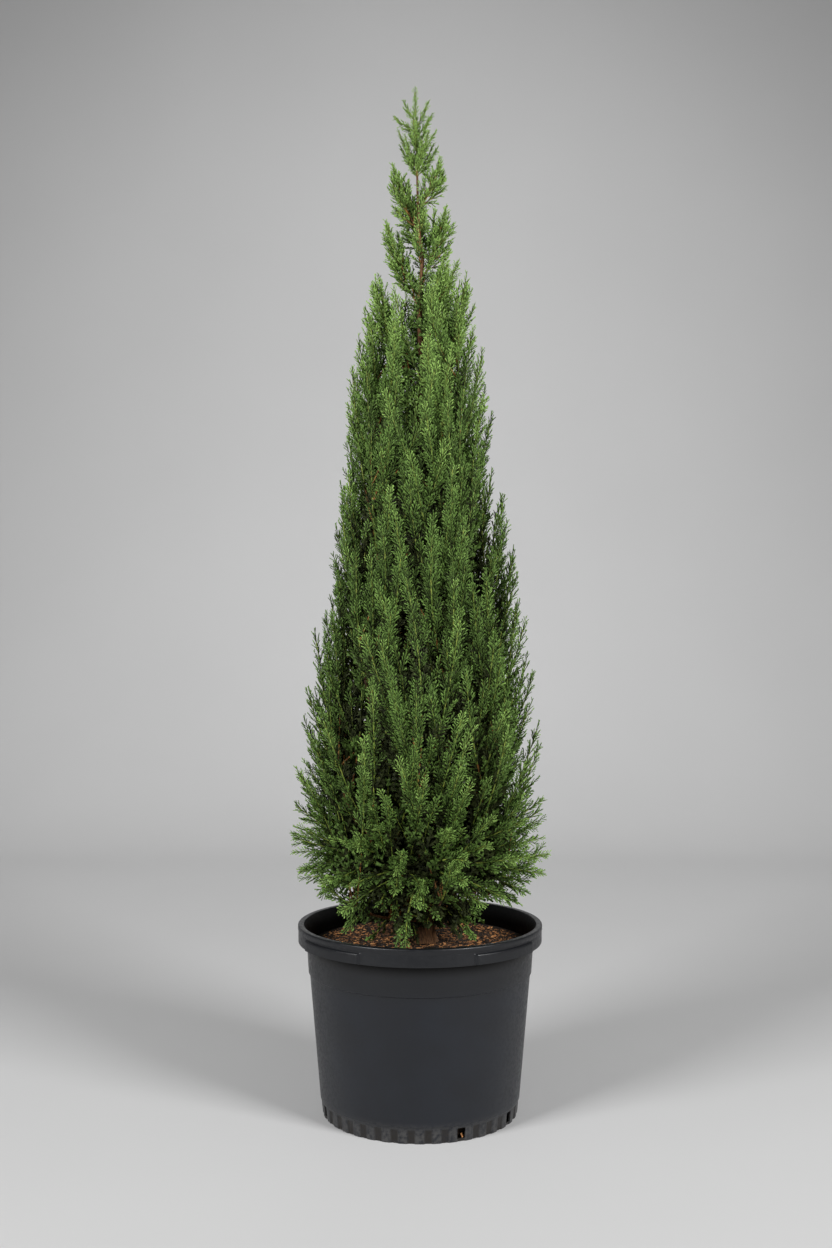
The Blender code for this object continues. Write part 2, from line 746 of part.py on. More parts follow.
def leader_limb():
    """The shoot that goes on from the trunk's tip."""
    limb = Limb("leader", TRUNK_TIP - 0.01, LEADER_TIP, 0.5, 0.5, TUFT_FAN, False)
    base = trunk_centre(TRUNK_TIP)
    limb.start = base + Vector((0.0, 0.0, CLEARANCE))
    limb.end = Vector(LEADER_TIP)
    limb.elbow = limb.start.lerp(limb.end, 0.5)
    limb.stem = limb_path(limb.start, limb.elbow, limb.end, 0.0, 1.0, STEM_POINTS)
    limb.stem_radius = trunk_radius(TRUNK_TIP)
    limb.stem_normal = Vector((0.0, 0.0, 1.0))
    return limb


def make_juniper():
    """The whole plant in its pot."""
    clear_scene()
    plastic = make_material("pot_plastic", (0.028, 0.030, 0.034), 0.45)
    mix = make_material("potting_mix", (0.090, 0.050, 0.028), 0.95)
    bark = make_material("bark", (0.200, 0.095, 0.045), 0.85)
    foliage = make_material("foliage", (0.060, 0.150, 0.035), 0.60)
    make_pot(plastic)
    make_potting_mix(mix)
    make_trunk(bark)
    limbs = plan_limbs()
    limbs.append(leader_limb())
    space = Space([limb.stem for limb in limbs], limbs)
    for own, limb in enumerate(limbs):
        if limb.has_bough:
            make_bough(limb, bark)
            make_mass(limb, own, space, foliage, *WHORL_MASS)
        else:
            make_mass(limb, own, space, foliage, *TUFT_MASS)


make_juniper()
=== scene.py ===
"""A juniper trained as a slim cone, in the black nursery pot that it is sold in.

Metres, +Z up. The origin is the middle of the pot's flat underside and the camera looks along +Y.
The sections follow the plant as it stands: pot, potting mix, trunk and boughs, twigs, sprays, studio.
"""

import json
import math

import bpy
import numpy as np
from mathutils import Matrix, Vector, noise

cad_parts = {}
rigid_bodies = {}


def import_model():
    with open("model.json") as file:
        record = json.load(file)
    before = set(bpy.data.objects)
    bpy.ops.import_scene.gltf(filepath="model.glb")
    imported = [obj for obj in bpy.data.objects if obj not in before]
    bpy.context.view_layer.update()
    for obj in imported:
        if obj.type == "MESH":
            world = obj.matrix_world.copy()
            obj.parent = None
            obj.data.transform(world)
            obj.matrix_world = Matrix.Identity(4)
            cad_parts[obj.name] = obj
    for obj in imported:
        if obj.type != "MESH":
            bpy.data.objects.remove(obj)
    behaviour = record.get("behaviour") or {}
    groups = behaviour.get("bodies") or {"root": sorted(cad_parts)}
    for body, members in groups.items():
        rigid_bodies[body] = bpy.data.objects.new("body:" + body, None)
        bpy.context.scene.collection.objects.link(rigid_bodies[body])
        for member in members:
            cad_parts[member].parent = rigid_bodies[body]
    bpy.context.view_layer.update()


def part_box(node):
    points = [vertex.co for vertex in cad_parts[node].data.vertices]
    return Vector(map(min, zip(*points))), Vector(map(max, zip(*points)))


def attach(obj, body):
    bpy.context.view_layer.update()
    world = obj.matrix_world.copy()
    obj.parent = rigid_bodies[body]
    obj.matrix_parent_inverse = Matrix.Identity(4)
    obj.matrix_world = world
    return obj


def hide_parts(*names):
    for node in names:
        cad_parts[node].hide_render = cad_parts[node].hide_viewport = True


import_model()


# Pot
# A round 38 litre container for nursery stock, injection moulded in black polypropylene. The rim is
# folded out and down, with four thicker grips in it, and flutes round the foot hold the drain holes.

POT_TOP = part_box("pot")[1][2]
RIM_RADIUS = 0.215
RIM_INNER_RADIUS = RIM_RADIUS - 0.0105
RIM_BAND_RADIUS = RIM_RADIUS - 0.0002 - 0.0005
RIM_FOOT = POT_TOP - 0.0305
RIM_ROUNDING = 0.0024
RIM_INNER_ROUNDING = 0.0016
LIP_FOOT = POT_TOP - 0.0085
COLLAR_TOP_RADIUS = 0.1995
COLLAR_FOOT_RADIUS = 0.1962
COLLAR_FOOT_HEIGHT = 0.2474
COLLAR_STEP = 0.0021
COLLAR_ROUNDING = 0.0009
WALL_FOOT_RADIUS = 0.1752
FOOT_BAND_HEIGHT = 0.0287
FOOT_BAND_STEP = 0.0014
FOOT_BAND_ROUNDING = 0.0010
BASE_RADIUS = 0.171
BASE_ROUNDING = 0.0012
POT_WALL = 0.0026
POT_FLOOR = 0.004
POT_COLUMNS = 720
MIDDLE_RING = 0.02
GRIP_CENTRES = (43.5, 133.5, 223.5, 313.5)
GRIP_SPAN = 37.0
GRIP_PROUD = 0.0036
GRIP_HEIGHT = 0.0185
GRIP_ROUNDING = 0.0026
GRIP_END = 1.8
FLUTES = 38
FLUTE_SHARE = 0.44
FLUTE_DEPTH = 0.0019
FLUTE_TOP = 0.0238
FLUTE_EDGE = 0.0008
FLUTE_SIDE = 1.3
FIRST_FLUTE = 23.3
DRAIN_FLUTES = (0, 4, 9, 13, 17, 21, 28)
DRAIN_WIDTH = 0.0146
DRAIN_SILL = 0.0055
DRAIN_TOP = DRAIN_SILL + 0.0172
DRAIN_CUT = 0.008
SOILED_SHADED_FOOT = RIM_FOOT - 0.008
SOILED_SHADED_TOP = POT_TOP - 0.004


def linear(colour):
    """The linear colour, with alpha, of an sRGB hex value."""
    channels = [int(colour[start:start + 2], 16) / 255.0 for start in (0, 2, 4)]
    return [c / 12.92 if c <= 0.04045 else ((c + 0.055) / 1.055) ** 2.4 for c in channels] + [1.0]


def feed(tree, node, inputs):
    """Sets a node's inputs to values or links them; a whole node stands for its first output in use."""
    for name, value in inputs.items():
        if isinstance(value, bpy.types.Node):
            value = next(output for output in value.outputs if output.enabled)
        if isinstance(value, bpy.types.NodeSocket):
            tree.links.new(value, node.inputs[name])
        else:
            node.inputs[name].default_value = value


def add_node(tree, kind, inputs=None, **settings):
    """Adds a node with its settings, values and links."""
    node = tree.nodes.new(kind)
    for name, value in settings.items():
        setattr(node, name, value)
    feed(tree, node, inputs or {})
    return node


def start_material(name, **values):
    """A material with one Principled shader, its constant sockets set directly, and object coordinates."""
    material = bpy.data.materials.new(name)
    material.use_nodes = True
    tree = material.node_tree
    shader = tree.nodes["Principled BSDF"]
    for socket, value in values.items():
        shader.inputs[socket.replace("_", " ")].default_value = value
    return material, tree, shader, add_node(tree, "ShaderNodeTexCoord").outputs["Object"]


def per_metre(millimetres):
    """A texture's scale for a pattern whose marks are this far apart."""
    return 1000.0 / millimetres


def patched(tree, pattern, low, high, under, over, most=1.0):
    """A colour that goes over into another one between two values of a pattern."""
    share = add_node(tree, "ShaderNodeMapRange", {"Value": pattern, "From Min": low, "From Max": high,
                                                  "To Max": most}, interpolation_type="SMOOTHSTEP")
    return add_node(tree, "ShaderNodeMix", {0: share, 6: under, 7: over}, data_type="RGBA")


def moulded_polypropylene():
    """Carbon-black polypropylene from a mould: even and satin, dulled by dust and handling marks, with
    painted shade under the rim, in the flutes and inside the pot.
    """
    material, tree, shader, place = start_material("moulded_polypropylene", IOR=1.49)
    height = add_node(tree, "ShaderNodeSeparateXYZ", {"Vector": place}).outputs["Z"]
    patches = add_node(tree, "ShaderNodeTexNoise", {"Vector": place, "Scale": per_metre(70.0), "Detail": 5.0})
    marks = add_node(tree, "ShaderNodeTexNoise", {"Vector": place, "Scale": per_metre(6.0), "Detail": 6.0,
                                                  "Roughness": 0.65})
    handled = patched(tree, patches, 0.35, 0.70, linear("0f1219"), linear("12161e"))
    # Painted shade: the pot is darker from the collar up, under the folded rim and over the rim itself.
    plain = patched(tree, height, 0.225, 0.265, handled, linear("0b0d12"))
    scuffed = patched(tree, marks, 0.60, 0.80, plain, linear("303236"), most=0.40)
    # Dust lies thickest at the foot. Silt from watering darkens the flutes, deepened by painted shade in
    # their recesses.
    low_down = add_node(tree, "ShaderNodeMapRange", {"Value": height, "From Min": 0.012, "From Max": 0.040,
                                                     "To Min": 0.75, "To Max": 0.0},
                        interpolation_type="SMOOTHSTEP")
    specks = add_node(tree, "ShaderNodeMapRange", {"Value": marks, "From Min": 0.34, "From Max": 0.60},
                      interpolation_type="SMOOTHSTEP")
    dust = add_node(tree, "ShaderNodeMath", {0: low_down, 1: specks}, operation="MULTIPLY")
    dusty = add_node(tree, "ShaderNodeMix", {0: dust, 6: scuffed, 7: linear("474645")}, data_type="RGBA")
    recess = add_node(tree, "ShaderNodeAttribute", attribute_name="recess").outputs["Fac"]
    runs = add_node(tree, "ShaderNodeMapRange", {"Value": marks, "From Min": 0.30, "From Max": 0.55,
                                                 "To Min": 0.40, "To Max": 0.95},
                    interpolation_type="SMOOTHSTEP")
    silt_and_shade = add_node(tree, "ShaderNodeMath", {0: recess, 1: runs}, operation="MULTIPLY")
    silted_and_shaded = add_node(tree, "ShaderNodeMix", {0: silt_and_shade, 6: dusty, 7: linear("15100c")}, data_type="RGBA")
    # The wall inside is stained by the mix and painted near black without gloss: painted shade inside the
    # pot.
    soiled = add_node(tree, "ShaderNodeAttribute", attribute_name="soiled").outputs["Fac"]
    colour = add_node(tree, "ShaderNodeMix", {0: soiled, 6: silted_and_shaded, 7: linear("0c0a08")}, data_type="RGBA")
    dull = add_node(tree, "ShaderNodeMapRange", {"Value": marks, "From Min": 0.3, "From Max": 0.75,
                                                 "To Min": 0.30, "To Max": 0.52},
                    interpolation_type="SMOOTHSTEP")
    gloss = add_node(tree, "ShaderNodeMapRange", {"Value": soiled, "To Min": 0.5, "To Max": 0.06},
                     interpolation_type="SMOOTHSTEP")
    grain = add_node(tree, "ShaderNodeTexNoise", {"Vector": place, "Scale": per_metre(1.2), "Detail": 3.0})
    bump = add_node(tree, "ShaderNodeBump", {"Height": grain, "Strength": 0.12, "Distance": 0.0004})
    feed(tree, shader, {"Base Color": colour, "Roughness": dull, "Specular IOR Level": gloss, "Normal": bump})
    return material


def front_turn(degrees_from_front):
    """Angle about +Z of a place counted from the front towards the right."""
    return math.radians(degrees_from_front - 90.0)


def outwards(turn, reach=1.0, height=0.0):
    """The point at a turn about +Z, a reach from the axis and a height."""
    return Vector((reach * math.cos(turn), reach * math.sin(turn), height))


def pulse(turns, centre, half, edge):
    """1 within an angle of a centre and 0 outside, with eased edges; all in degrees."""
    apart = np.abs((turns - centre + 180.0) % 360.0 - 180.0)
    share = np.clip((half - apart) / edge + 0.5, 0.0, 1.0)
    return share * share * (3.0 - 2.0 * share)


def rounded(centre_radius, centre_height, radius, first, last, steps):
    """Radius and height of points on a rounded edge, between two angles in degrees."""
    angles = [math.radians(first + (last - first) * step / steps) for step in range(steps + 1)]
    return [(centre_radius + radius * math.cos(a), centre_height + radius * math.sin(a)) for a in angles]


def pot_profile():
    """The pot's outline as (radius, height), from the middle of its underside round to its floor."""
    outline = [(MIDDLE_RING, 0.0), (BASE_RADIUS - BASE_ROUNDING, 0.0), (BASE_RADIUS, BASE_ROUNDING)]
    rise = (WALL_FOOT_RADIUS - FOOT_BAND_STEP - BASE_RADIUS) / FOOT_BAND_HEIGHT
    for height in (0.004, 0.010, 0.017, FLUTE_TOP - FLUTE_EDGE, FLUTE_TOP + FLUTE_EDGE,
                   FOOT_BAND_HEIGHT - BASE_ROUNDING):
        outline.append((BASE_RADIUS + rise * height, height))
    outline += rounded(WALL_FOOT_RADIUS - FOOT_BAND_ROUNDING, FOOT_BAND_HEIGHT + 0.0006,
                       FOOT_BAND_ROUNDING, -80.0, 0.0, 3)
    # The long plain wall, then the step out to the collar.
    wall_top = COLLAR_FOOT_RADIUS - COLLAR_STEP
    for share in np.linspace(0.08, 0.96, 9):
        outline.append((WALL_FOOT_RADIUS + share * (wall_top - WALL_FOOT_RADIUS),
                        FOOT_BAND_HEIGHT + share * (COLLAR_FOOT_HEIGHT - FOOT_BAND_HEIGHT)))
    outline.append((wall_top, COLLAR_FOOT_HEIGHT - COLLAR_ROUNDING))
    outline += rounded(COLLAR_FOOT_RADIUS - COLLAR_ROUNDING, COLLAR_FOOT_HEIGHT + COLLAR_ROUNDING,
                       COLLAR_ROUNDING, -70.0, 0.0, 3)
    outline += [(COLLAR_TOP_RADIUS - 0.0016, 0.275), (COLLAR_TOP_RADIUS, RIM_FOOT + 0.004)]
    # Up under the folded rim and down again inside its skirt.
    outline += [(RIM_INNER_RADIUS + 0.0010, POT_TOP - 0.0050), (RIM_RADIUS - POT_WALL, POT_TOP - 0.0040)]
    outline += [(RIM_RADIUS - POT_WALL - 0.0006, RIM_FOOT + 0.0004), (RIM_RADIUS - 0.0012, RIM_FOOT)]
    # The rim's band with close rings where the grips end, and the lip.
    for height in (0.0009, 0.0030, 0.0060, 0.0120, GRIP_HEIGHT - 0.0030, GRIP_HEIGHT - 0.0016,
                   GRIP_HEIGHT - 0.0006, GRIP_HEIGHT):
        outline.append((RIM_BAND_RADIUS, RIM_FOOT + height))
    outline += [(RIM_BAND_RADIUS, 0.5 * (RIM_FOOT + GRIP_HEIGHT + LIP_FOOT)),
                (RIM_BAND_RADIUS, LIP_FOOT - 0.0006), (RIM_RADIUS, LIP_FOOT + 0.0004)]
    outline += rounded(RIM_RADIUS - RIM_ROUNDING, POT_TOP - RIM_ROUNDING, RIM_ROUNDING, 0.0, 90.0, 6)
    outline += rounded(RIM_INNER_RADIUS + RIM_INNER_ROUNDING, POT_TOP - RIM_INNER_ROUNDING,
                       RIM_INNER_ROUNDING, 90.0, 180.0, 5)
    # Down the wall inside and in over the floor.
    collar_inner = COLLAR_FOOT_RADIUS - POT_WALL
    outline += [(collar_inner + 0.0028, RIM_FOOT + 0.004), (collar_inner, COLLAR_FOOT_HEIGHT)]
    outline += [(BASE_RADIUS - POT_WALL, POT_FLOOR), (MIDDLE_RING, POT_FLOOR)]
    return outline


def tube_faces(rings, sides):
    """Faces of a row of rings, closed at its ends by a fan to each of the two points after the rings."""
    faces = []
    for near in range(0, (rings - 1) * sides, sides):
        far = near + sides
        for side in range(sides):
            after = (side + 1) % sides
            faces.append((near + side, near + after, far + after, far + side))
    foot = rings * sides
    last = foot - sides
    for side in range(sides):
        after = (side + 1) % sides
        faces.append((after, side, foot))
        faces.append((last + side, last + after, foot + 1))
    return faces


def turned(outline, columns, shift):
    """A closed mesh of an outline turned about Z; shift(turns, radius, height) moves it outwards."""
    turns = np.arange(columns) * 360.0 / columns
    angles = np.radians(turns - 90.0)
    points = []
    for radius, height in outline:
        radii = radius + shift(turns, radius, height)
        points.append(np.stack([radii * np.cos(angles), radii * np.sin(angles),
                                np.full(columns, height)], axis=1))
    points.append(np.array([[0.0, 0.0, outline[0][1]], [0.0, 0.0, outline[-1][1]]]))
    return np.concatenate(points), tube_faces(len(outline), columns)


def soften(mesh, degrees):
    """Makes faces look rounded where they meet at less than this bend."""
    mesh.shade_smooth()
    mesh.set_sharp_from_angle(angle=math.radians(degrees))


def mesh_object(name, points, faces, material=None, smooth=None, edges=()):
    """A mesh object at the origin; smooth is the bend in degrees up to which faces look rounded."""
    mesh = bpy.data.meshes.new(name)
    mesh.from_pydata([tuple(point) for point in points], edges, faces)
    if smooth:
        soften(mesh, smooth)
    if material:
        mesh.materials.append(material)
    piece = bpy.data.objects.new(name, mesh)
    bpy.context.scene.collection.objects.link(piece)
    return piece


def store(piece, name, kind, values):
    """Stores a number or a vector with each of a piece's points."""
    data = piece.data.attributes.new(name, kind, "POINT").data
    data.foreach_set("vector" if kind == "FLOAT_VECTOR" else "value", values)


def set_aside(name, items):
    """Moves pieces to a collection outside the scene, from which a modifier takes them."""
    shelf = bpy.data.collections.new(name)
    for item in items:
        bpy.context.scene.collection.objects.unlink(item)
        shelf.objects.link(item)
    return shelf


def clear_shelf(shelf):
    """Removes what was set aside once everything made from it is plain mesh."""
    for item in list(shelf.objects):
        bpy.data.objects.remove(item)
    bpy.data.collections.remove(shelf)


def finish_modifiers(piece):
    """Turns an object's live modifiers into plain mesh, so that it can ride on the frame."""
    depsgraph = bpy.context.evaluated_depsgraph_get()
    mesh = bpy.data.meshes.new_from_object(piece.evaluated_get(depsgraph))
    piece.modifiers.clear()
    piece.data = mesh
    mesh.name = piece.name


def flute_share(turns):
    """How deep in a flute a turn lies, from 0 between the flutes to 1."""
    period = 360.0 / FLUTES
    folded = (turns - FIRST_FLUTE + period / 2.0) % period - period / 2.0
    return pulse(folded, 0.0, period * FLUTE_SHARE / 2.0, FLUTE_SIDE)


def pot_shift(turns, radius, height):
    """Grips that stand out of the rim and flutes that go into the foot."""
    if RIM_FOOT + 0.0005 < height < RIM_FOOT + GRIP_HEIGHT - 0.0002 and radius > RIM_RADIUS - 0.002:
        shoulder = min(1.0, (RIM_FOOT + GRIP_HEIGHT - height) / GRIP_ROUNDING)
        proud = GRIP_PROUD * math.sqrt(1.0 - (1.0 - shoulder) ** 2)
        return sum(proud * pulse(turns, centre, GRIP_SPAN / 2.0, GRIP_END) for centre in GRIP_CENTRES)
    if height < FLUTE_TOP and radius > BASE_RADIUS - 0.002:
        return -FLUTE_DEPTH * flute_share(turns)
    return np.zeros(len(turns))


def mark_silt_and_shade(pot):
    """Stores how far each point lies in a flute, which darkens it, and which points inside the pot are
    stained by the mix and painted in shade.
    """
    places = np.array([tuple(vertex.co) for vertex in pot.data.vertices])
    turns = np.degrees(np.arctan2(places[:, 1], places[:, 0])) + 90.0
    reach = np.hypot(places[:, 0], places[:, 1])
    height = places[:, 2]
    flutes = flute_share(turns) * (reach > BASE_RADIUS - 0.003) * (height < FLUTE_TOP)
    in_collar = (height > SOILED_SHADED_FOOT) & (reach < COLLAR_TOP_RADIUS - 0.002)
    in_rim = (height > RIM_FOOT + 0.001) & (height < SOILED_SHADED_TOP) & (reach < RIM_INNER_RADIUS + 0.0008)
    store(pot, "recess", "FLOAT", flutes)
    store(pot, "soiled", "FLOAT", (in_collar | in_rim).astype(float))


def drain_turn(flute):
    """Turn from the front, in degrees, of the drain hole that takes a flute's place."""
    return FIRST_FLUTE + flute * 360.0 / FLUTES


def drain_cutter(flute):
    """A block through the foot where a drain hole is left open."""
    half = math.degrees(DRAIN_WIDTH / BASE_RADIUS) / 2.0
    inner = BASE_RADIUS - DRAIN_CUT
    outer = BASE_RADIUS + DRAIN_CUT
    corners = ((inner, DRAIN_SILL), (outer, DRAIN_SILL), (outer, DRAIN_TOP), (inner, DRAIN_TOP))
    points = []
    for turn in (drain_turn(flute) - half, drain_turn(flute) + half):
        points += [outwards(front_turn(turn), radius, height) for radius, height in corners]
    faces = [(0, 1, 2, 3), (7, 6, 5, 4), (0, 4, 5, 1), (1, 5, 6, 2), (2, 6, 7, 3), (3, 7, 4, 0)]
    return mesh_object(f"drain_{flute}", points, faces)


def make_pot():
    """The whole pot, with its drain holes cut through."""
    points, faces = turned(pot_profile(), POT_COLUMNS, pot_shift)
    pot = mesh_object("nursery_pot", points, faces, moulded_polypropylene())
    cutters = set_aside("drains", [drain_cutter(flute) for flute in DRAIN_FLUTES])
    cut = pot.modifiers.new("drains", "BOOLEAN")
    cut.operand_type = "COLLECTION"
    cut.collection = cutters
    cut.operation = "DIFFERENCE"
    finish_modifiers(pot)
    clear_shelf(cutters)
    mark_silt_and_shade(pot)
    soften(pot.data, 50.0)
    return pot


pot = make_pot()
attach(pot, "root")
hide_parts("pot")


# Potting mix
# Composted bark with some peat, filled to a finger's width under the rim. It is dark and damp, with
# loose orange-brown bark chips on top that are raked level by hand.

MIX_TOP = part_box("potting_mix")[1][2]
MIX_FOOT = POT_FLOOR + 0.0003
MIX_FOOT_RADIUS = BASE_RADIUS - 0.014
MIX_COLLAR_RADIUS = COLLAR_FOOT_RADIUS - 0.0036 - 0.001
MIX_EDGE_RADIUS = 0.1930
MIX_RELIEF = 0.0030
MIX_LUMPS = 45.0
MIX_CRUMBS = 140.0
CHIP_COUNT = 4200
CHIP_LENGTHS = (0.004, 0.011)
CHIP_FORMS = 7
CHIP_EDGE_RADIUS = MIX_EDGE_RADIUS - 0.010
CHIP_SUNK = 0.0006
DRAIN_CHIP_REACH = 0.1655
DRAIN_CHIP_SIZE = (0.007, 0.009, 0.009)
# Tone of chips: its dark and light colour, and its share of them all.
CHIP_TONES = {
    "dark": ("1f140c", "3a2818", 0.38),
    "brown": ("64412a", "93663f", 0.36),
    "orange": ("a86c3c", "dba168", 0.26),
}


def damp_bark_mix():
    """Peat and bark fines: near black where it is damp, with a dull crumbly surface."""
    material, tree, shader, place = start_material("damp_bark_mix", Roughness=0.95)
    crumbs = add_node(tree, "ShaderNodeTexVoronoi", {"Vector": place, "Scale": per_metre(3.5)})
    damp = add_node(tree, "ShaderNodeTexNoise", {"Vector": place, "Scale": per_metre(28.0), "Detail": 4.0})
    soil = patched(tree, damp, 0.35, 0.65, linear("150f0a"), linear("2c1e13"))
    colour = patched(tree, crumbs, 0.0, 0.6, linear("3d2a1a"), soil)
    bump = add_node(tree, "ShaderNodeBump", {"Height": crumbs, "Strength": 0.7, "Distance": 0.0015})
    feed(tree, shader, {"Base Color": colour, "Normal": bump})
    return material


def mix_relief(x, y):
    """How far the mix lies under its highest level at a place."""
    lumps = noise.noise(Vector((x * MIX_LUMPS, y * MIX_LUMPS, 3.0)))
    crumbs = noise.noise(Vector((x * MIX_CRUMBS, y * MIX_CRUMBS, 7.0)))
    return MIX_RELIEF * min(1.0, max(0.0, 0.5 - 0.5 * (lumps + 0.5 * crumbs)))


def make_mix():
    """The mix as one solid that fills the pot clear of the drain holes, uneven on top."""
    outline = [(MIDDLE_RING, MIX_FOOT), (MIX_FOOT_RADIUS, MIX_FOOT),
               (MIX_FOOT_RADIUS, DRAIN_TOP + 0.004), (MIX_FOOT_RADIUS + 0.008, DRAIN_TOP + 0.010),
               (MIX_COLLAR_RADIUS, COLLAR_FOOT_HEIGHT), (MIX_EDGE_RADIUS, MIX_TOP - 0.002)]
    outline += [(float(radius), MIX_TOP) for radius in np.linspace(MIX_EDGE_RADIUS - 0.003, 0.004, 64)]
    points, faces = turned(outline, 240, lambda turns, radius, height: np.zeros(len(turns)))
    top = points[:, 2] > MIX_TOP - 0.001
    points[top, 2] -= [mix_relief(x, y) for x, y in points[top, :2]]
    return mesh_object("potting_mix_fill", points, faces, damp_bark_mix(), smooth=60.0)


mix_fill = make_mix()
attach(mix_fill, "root")
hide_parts("potting_mix")


def mottled_wood(name, roughness, spacing, detail, limits, dark, light):
    """Bare wood or bark in two tones, with blotches this many millimetres apart."""
    material, tree, shader, place = start_material(name, Roughness=roughness)
    blotches = add_node(tree, "ShaderNodeTexNoise", {"Vector": place, "Scale": per_metre(spacing),
                                                     "Detail": detail})
    feed(tree, shader, {"Base Color": patched(tree, blotches, *limits, linear(dark), linear(light))})
    return material


def chip_form(number, draw):
    """One bark chip a metre long: a flat splinter with uneven ends."""
    points = []
    for end, shrink in ((-0.5, 0.55), (0.05, 1.0), (0.5, 0.45)):
        for across, up in ((-1.0, -0.5), (1.0, -0.5), (0.8, 0.5), (-0.8, 0.5)):
            jitter = draw.uniform(0.75, 1.25, 3)
            points.append((end * jitter[0], 0.24 * shrink * across * jitter[1], 0.11 * up * jitter[2]))
    faces = [(3, 2, 1, 0), (8, 9, 10, 11)]
    for near in (0, 4):
        for side in range(4):
            after = (side + 1) % 4
            faces.append((near + side, near + after, near + 4 + after, near + 4 + side))
    return mesh_object(f"chip_{number}", points, faces)


def start_tree(name, **inputs):
    """A tree of geometry nodes, its named inputs by kind, and the node that hands them in."""
    tree = bpy.data.node_groups.new(name, "GeometryNodeTree")
    for label, kind in (("Geometry", "Geometry"), *inputs.items()):
        tree.interface.new_socket(label, in_out="INPUT", socket_type=f"NodeSocket{kind}")
    tree.interface.new_socket("Geometry", in_out="OUTPUT", socket_type="NodeSocketGeometry")
    return tree, add_node(tree, "NodeGroupInput")


def end_tree(tree, start, shape):
    """The end of a tree: its copies are made real and take the finish."""
    solid = add_node(tree, "GeometryNodeRealizeInstances", {"Geometry": shape})
    dressed = add_node(tree, "GeometryNodeSetMaterial", {"Geometry": solid,
                                                         "Material": start.outputs["Finish"]})
    add_node(tree, "NodeGroupOutput", {"Geometry": dressed})


def scatter_tree():
    """Nodes that set one form of a collection on each point, turned and sized by its attributes."""
    tree, start = start_tree("scatter_forms", Forms="Collection", Finish="Material")
    forms = add_node(tree, "GeometryNodeCollectionInfo", {"Collection": start.outputs["Forms"],
                                                          "Separate Children": True, "Reset Children": True})
    form = add_node(tree, "GeometryNodeInputNamedAttribute", {"Name": "form"}, data_type="INT")
    turn = add_node(tree, "GeometryNodeInputNamedAttribute", {"Name": "turn"}, data_type="FLOAT_VECTOR")
    size = add_node(tree, "GeometryNodeInputNamedAttribute", {"Name": "size"}, data_type="FLOAT_VECTOR")
    rotation = add_node(tree, "FunctionNodeEulerToRotation", {"Euler": turn})
    placed = add_node(tree, "GeometryNodeInstanceOnPoints", {
        "Points": start.outputs["Geometry"], "Instance": forms, "Pick Instance": True,
        "Instance Index": form, "Rotation": rotation, "Scale": size})
    end_tree(tree, start, placed)
    return tree


def run_tree(piece, tree, values):
    """Gives an object a node tree's result, with the tree's named inputs set first."""
    modifier = piece.modifiers.new(tree.name, "NODES")
    modifier.node_group = tree
    for item in tree.interface.items_tree:
        if item.in_out == "INPUT" and item.name in values:
            modifier[item.identifier] = values[item.name]
    finish_modifiers(piece)
    for name in ("form", "turn", "size", "thickness"):
        if name in piece.data.attributes:
            piece.data.attributes.remove(piece.data.attributes[name])


def scattered(name, tree, forms, rows, material):
    """A joined piece of many copies; a row is (place, turn, size, number of its form)."""
    places, turns, sizes, numbers = zip(*rows)
    piece = mesh_object(name, places, [])
    store(piece, "turn", "FLOAT_VECTOR", np.array(turns, dtype=float).ravel())
    store(piece, "size", "FLOAT_VECTOR", np.array(sizes, dtype=float).ravel())
    store(piece, "form", "INT", numbers)
    run_tree(piece, tree, {"Forms": forms, "Finish": material})
    return piece


SCATTER = scatter_tree()


def make_chips():
    """Bark chips over the mix and in the drain holes, in three browns."""
    draw = np.random.default_rng(21)
    forms = set_aside("chip_forms", [chip_form(number, draw) for number in range(CHIP_FORMS)])
    shares = [share for dark, light, share in CHIP_TONES.values()]
    rows = {tone: [] for tone in CHIP_TONES}
    for number in range(CHIP_COUNT):
        reach = CHIP_EDGE_RADIUS * math.sqrt(draw.random())
        angle = draw.uniform(0.0, 2.0 * math.pi)
        x = reach * math.cos(angle)
        y = reach * math.sin(angle)
        length = draw.uniform(*CHIP_LENGTHS) * draw.uniform(0.6, 1.0)
        place = (x, y, MIX_TOP - mix_relief(x, y) + 0.10 * length - CHIP_SUNK)
        turn = (draw.uniform(-0.5, 0.5), draw.uniform(-0.35, 0.35), draw.uniform(0.0, 2.0 * math.pi))
        size = (length, length * draw.uniform(0.7, 1.5), length * draw.uniform(0.7, 1.3))
        tone = list(CHIP_TONES)[int(draw.choice(3, p=shares))]
        rows[tone].append((place, turn, size, int(draw.integers(CHIP_FORMS))))
    for flute in DRAIN_FLUTES:
        angle = front_turn(drain_turn(flute) + draw.uniform(-1.5, 1.5))
        place = outwards(angle, DRAIN_CHIP_REACH, DRAIN_SILL + draw.uniform(0.002, 0.007))
        rows["orange"].append((place, (0.3, 0.8, angle), DRAIN_CHIP_SIZE, 1))
    chips = []
    for tone, (dark, light, share) in CHIP_TONES.items():
        # Pine bark broken by a mill: matt and fibrous, each chip streaked along its length.
        material = mottled_wood(f"chipped_bark_{tone}", 0.9, 2.5, 4.0, (0.35, 0.65), dark, light)
        chips.append(scattered(f"bark_chips_{tone}", SCATTER, forms, rows[tone], material))
    clear_shelf(forms)
    return chips


for chips in make_chips():
    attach(chips, "root")


# Trunk and boughs
# The living stem of the plant, from its flare at the mix to the leader, and the boughs that leave it
# in whorls. The bark is thin and orange-brown, and it splits and peels in long narrow strips.

TRUNK_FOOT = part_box("trunk")[0][2]
TRUNK_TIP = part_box("trunk")[1][2]
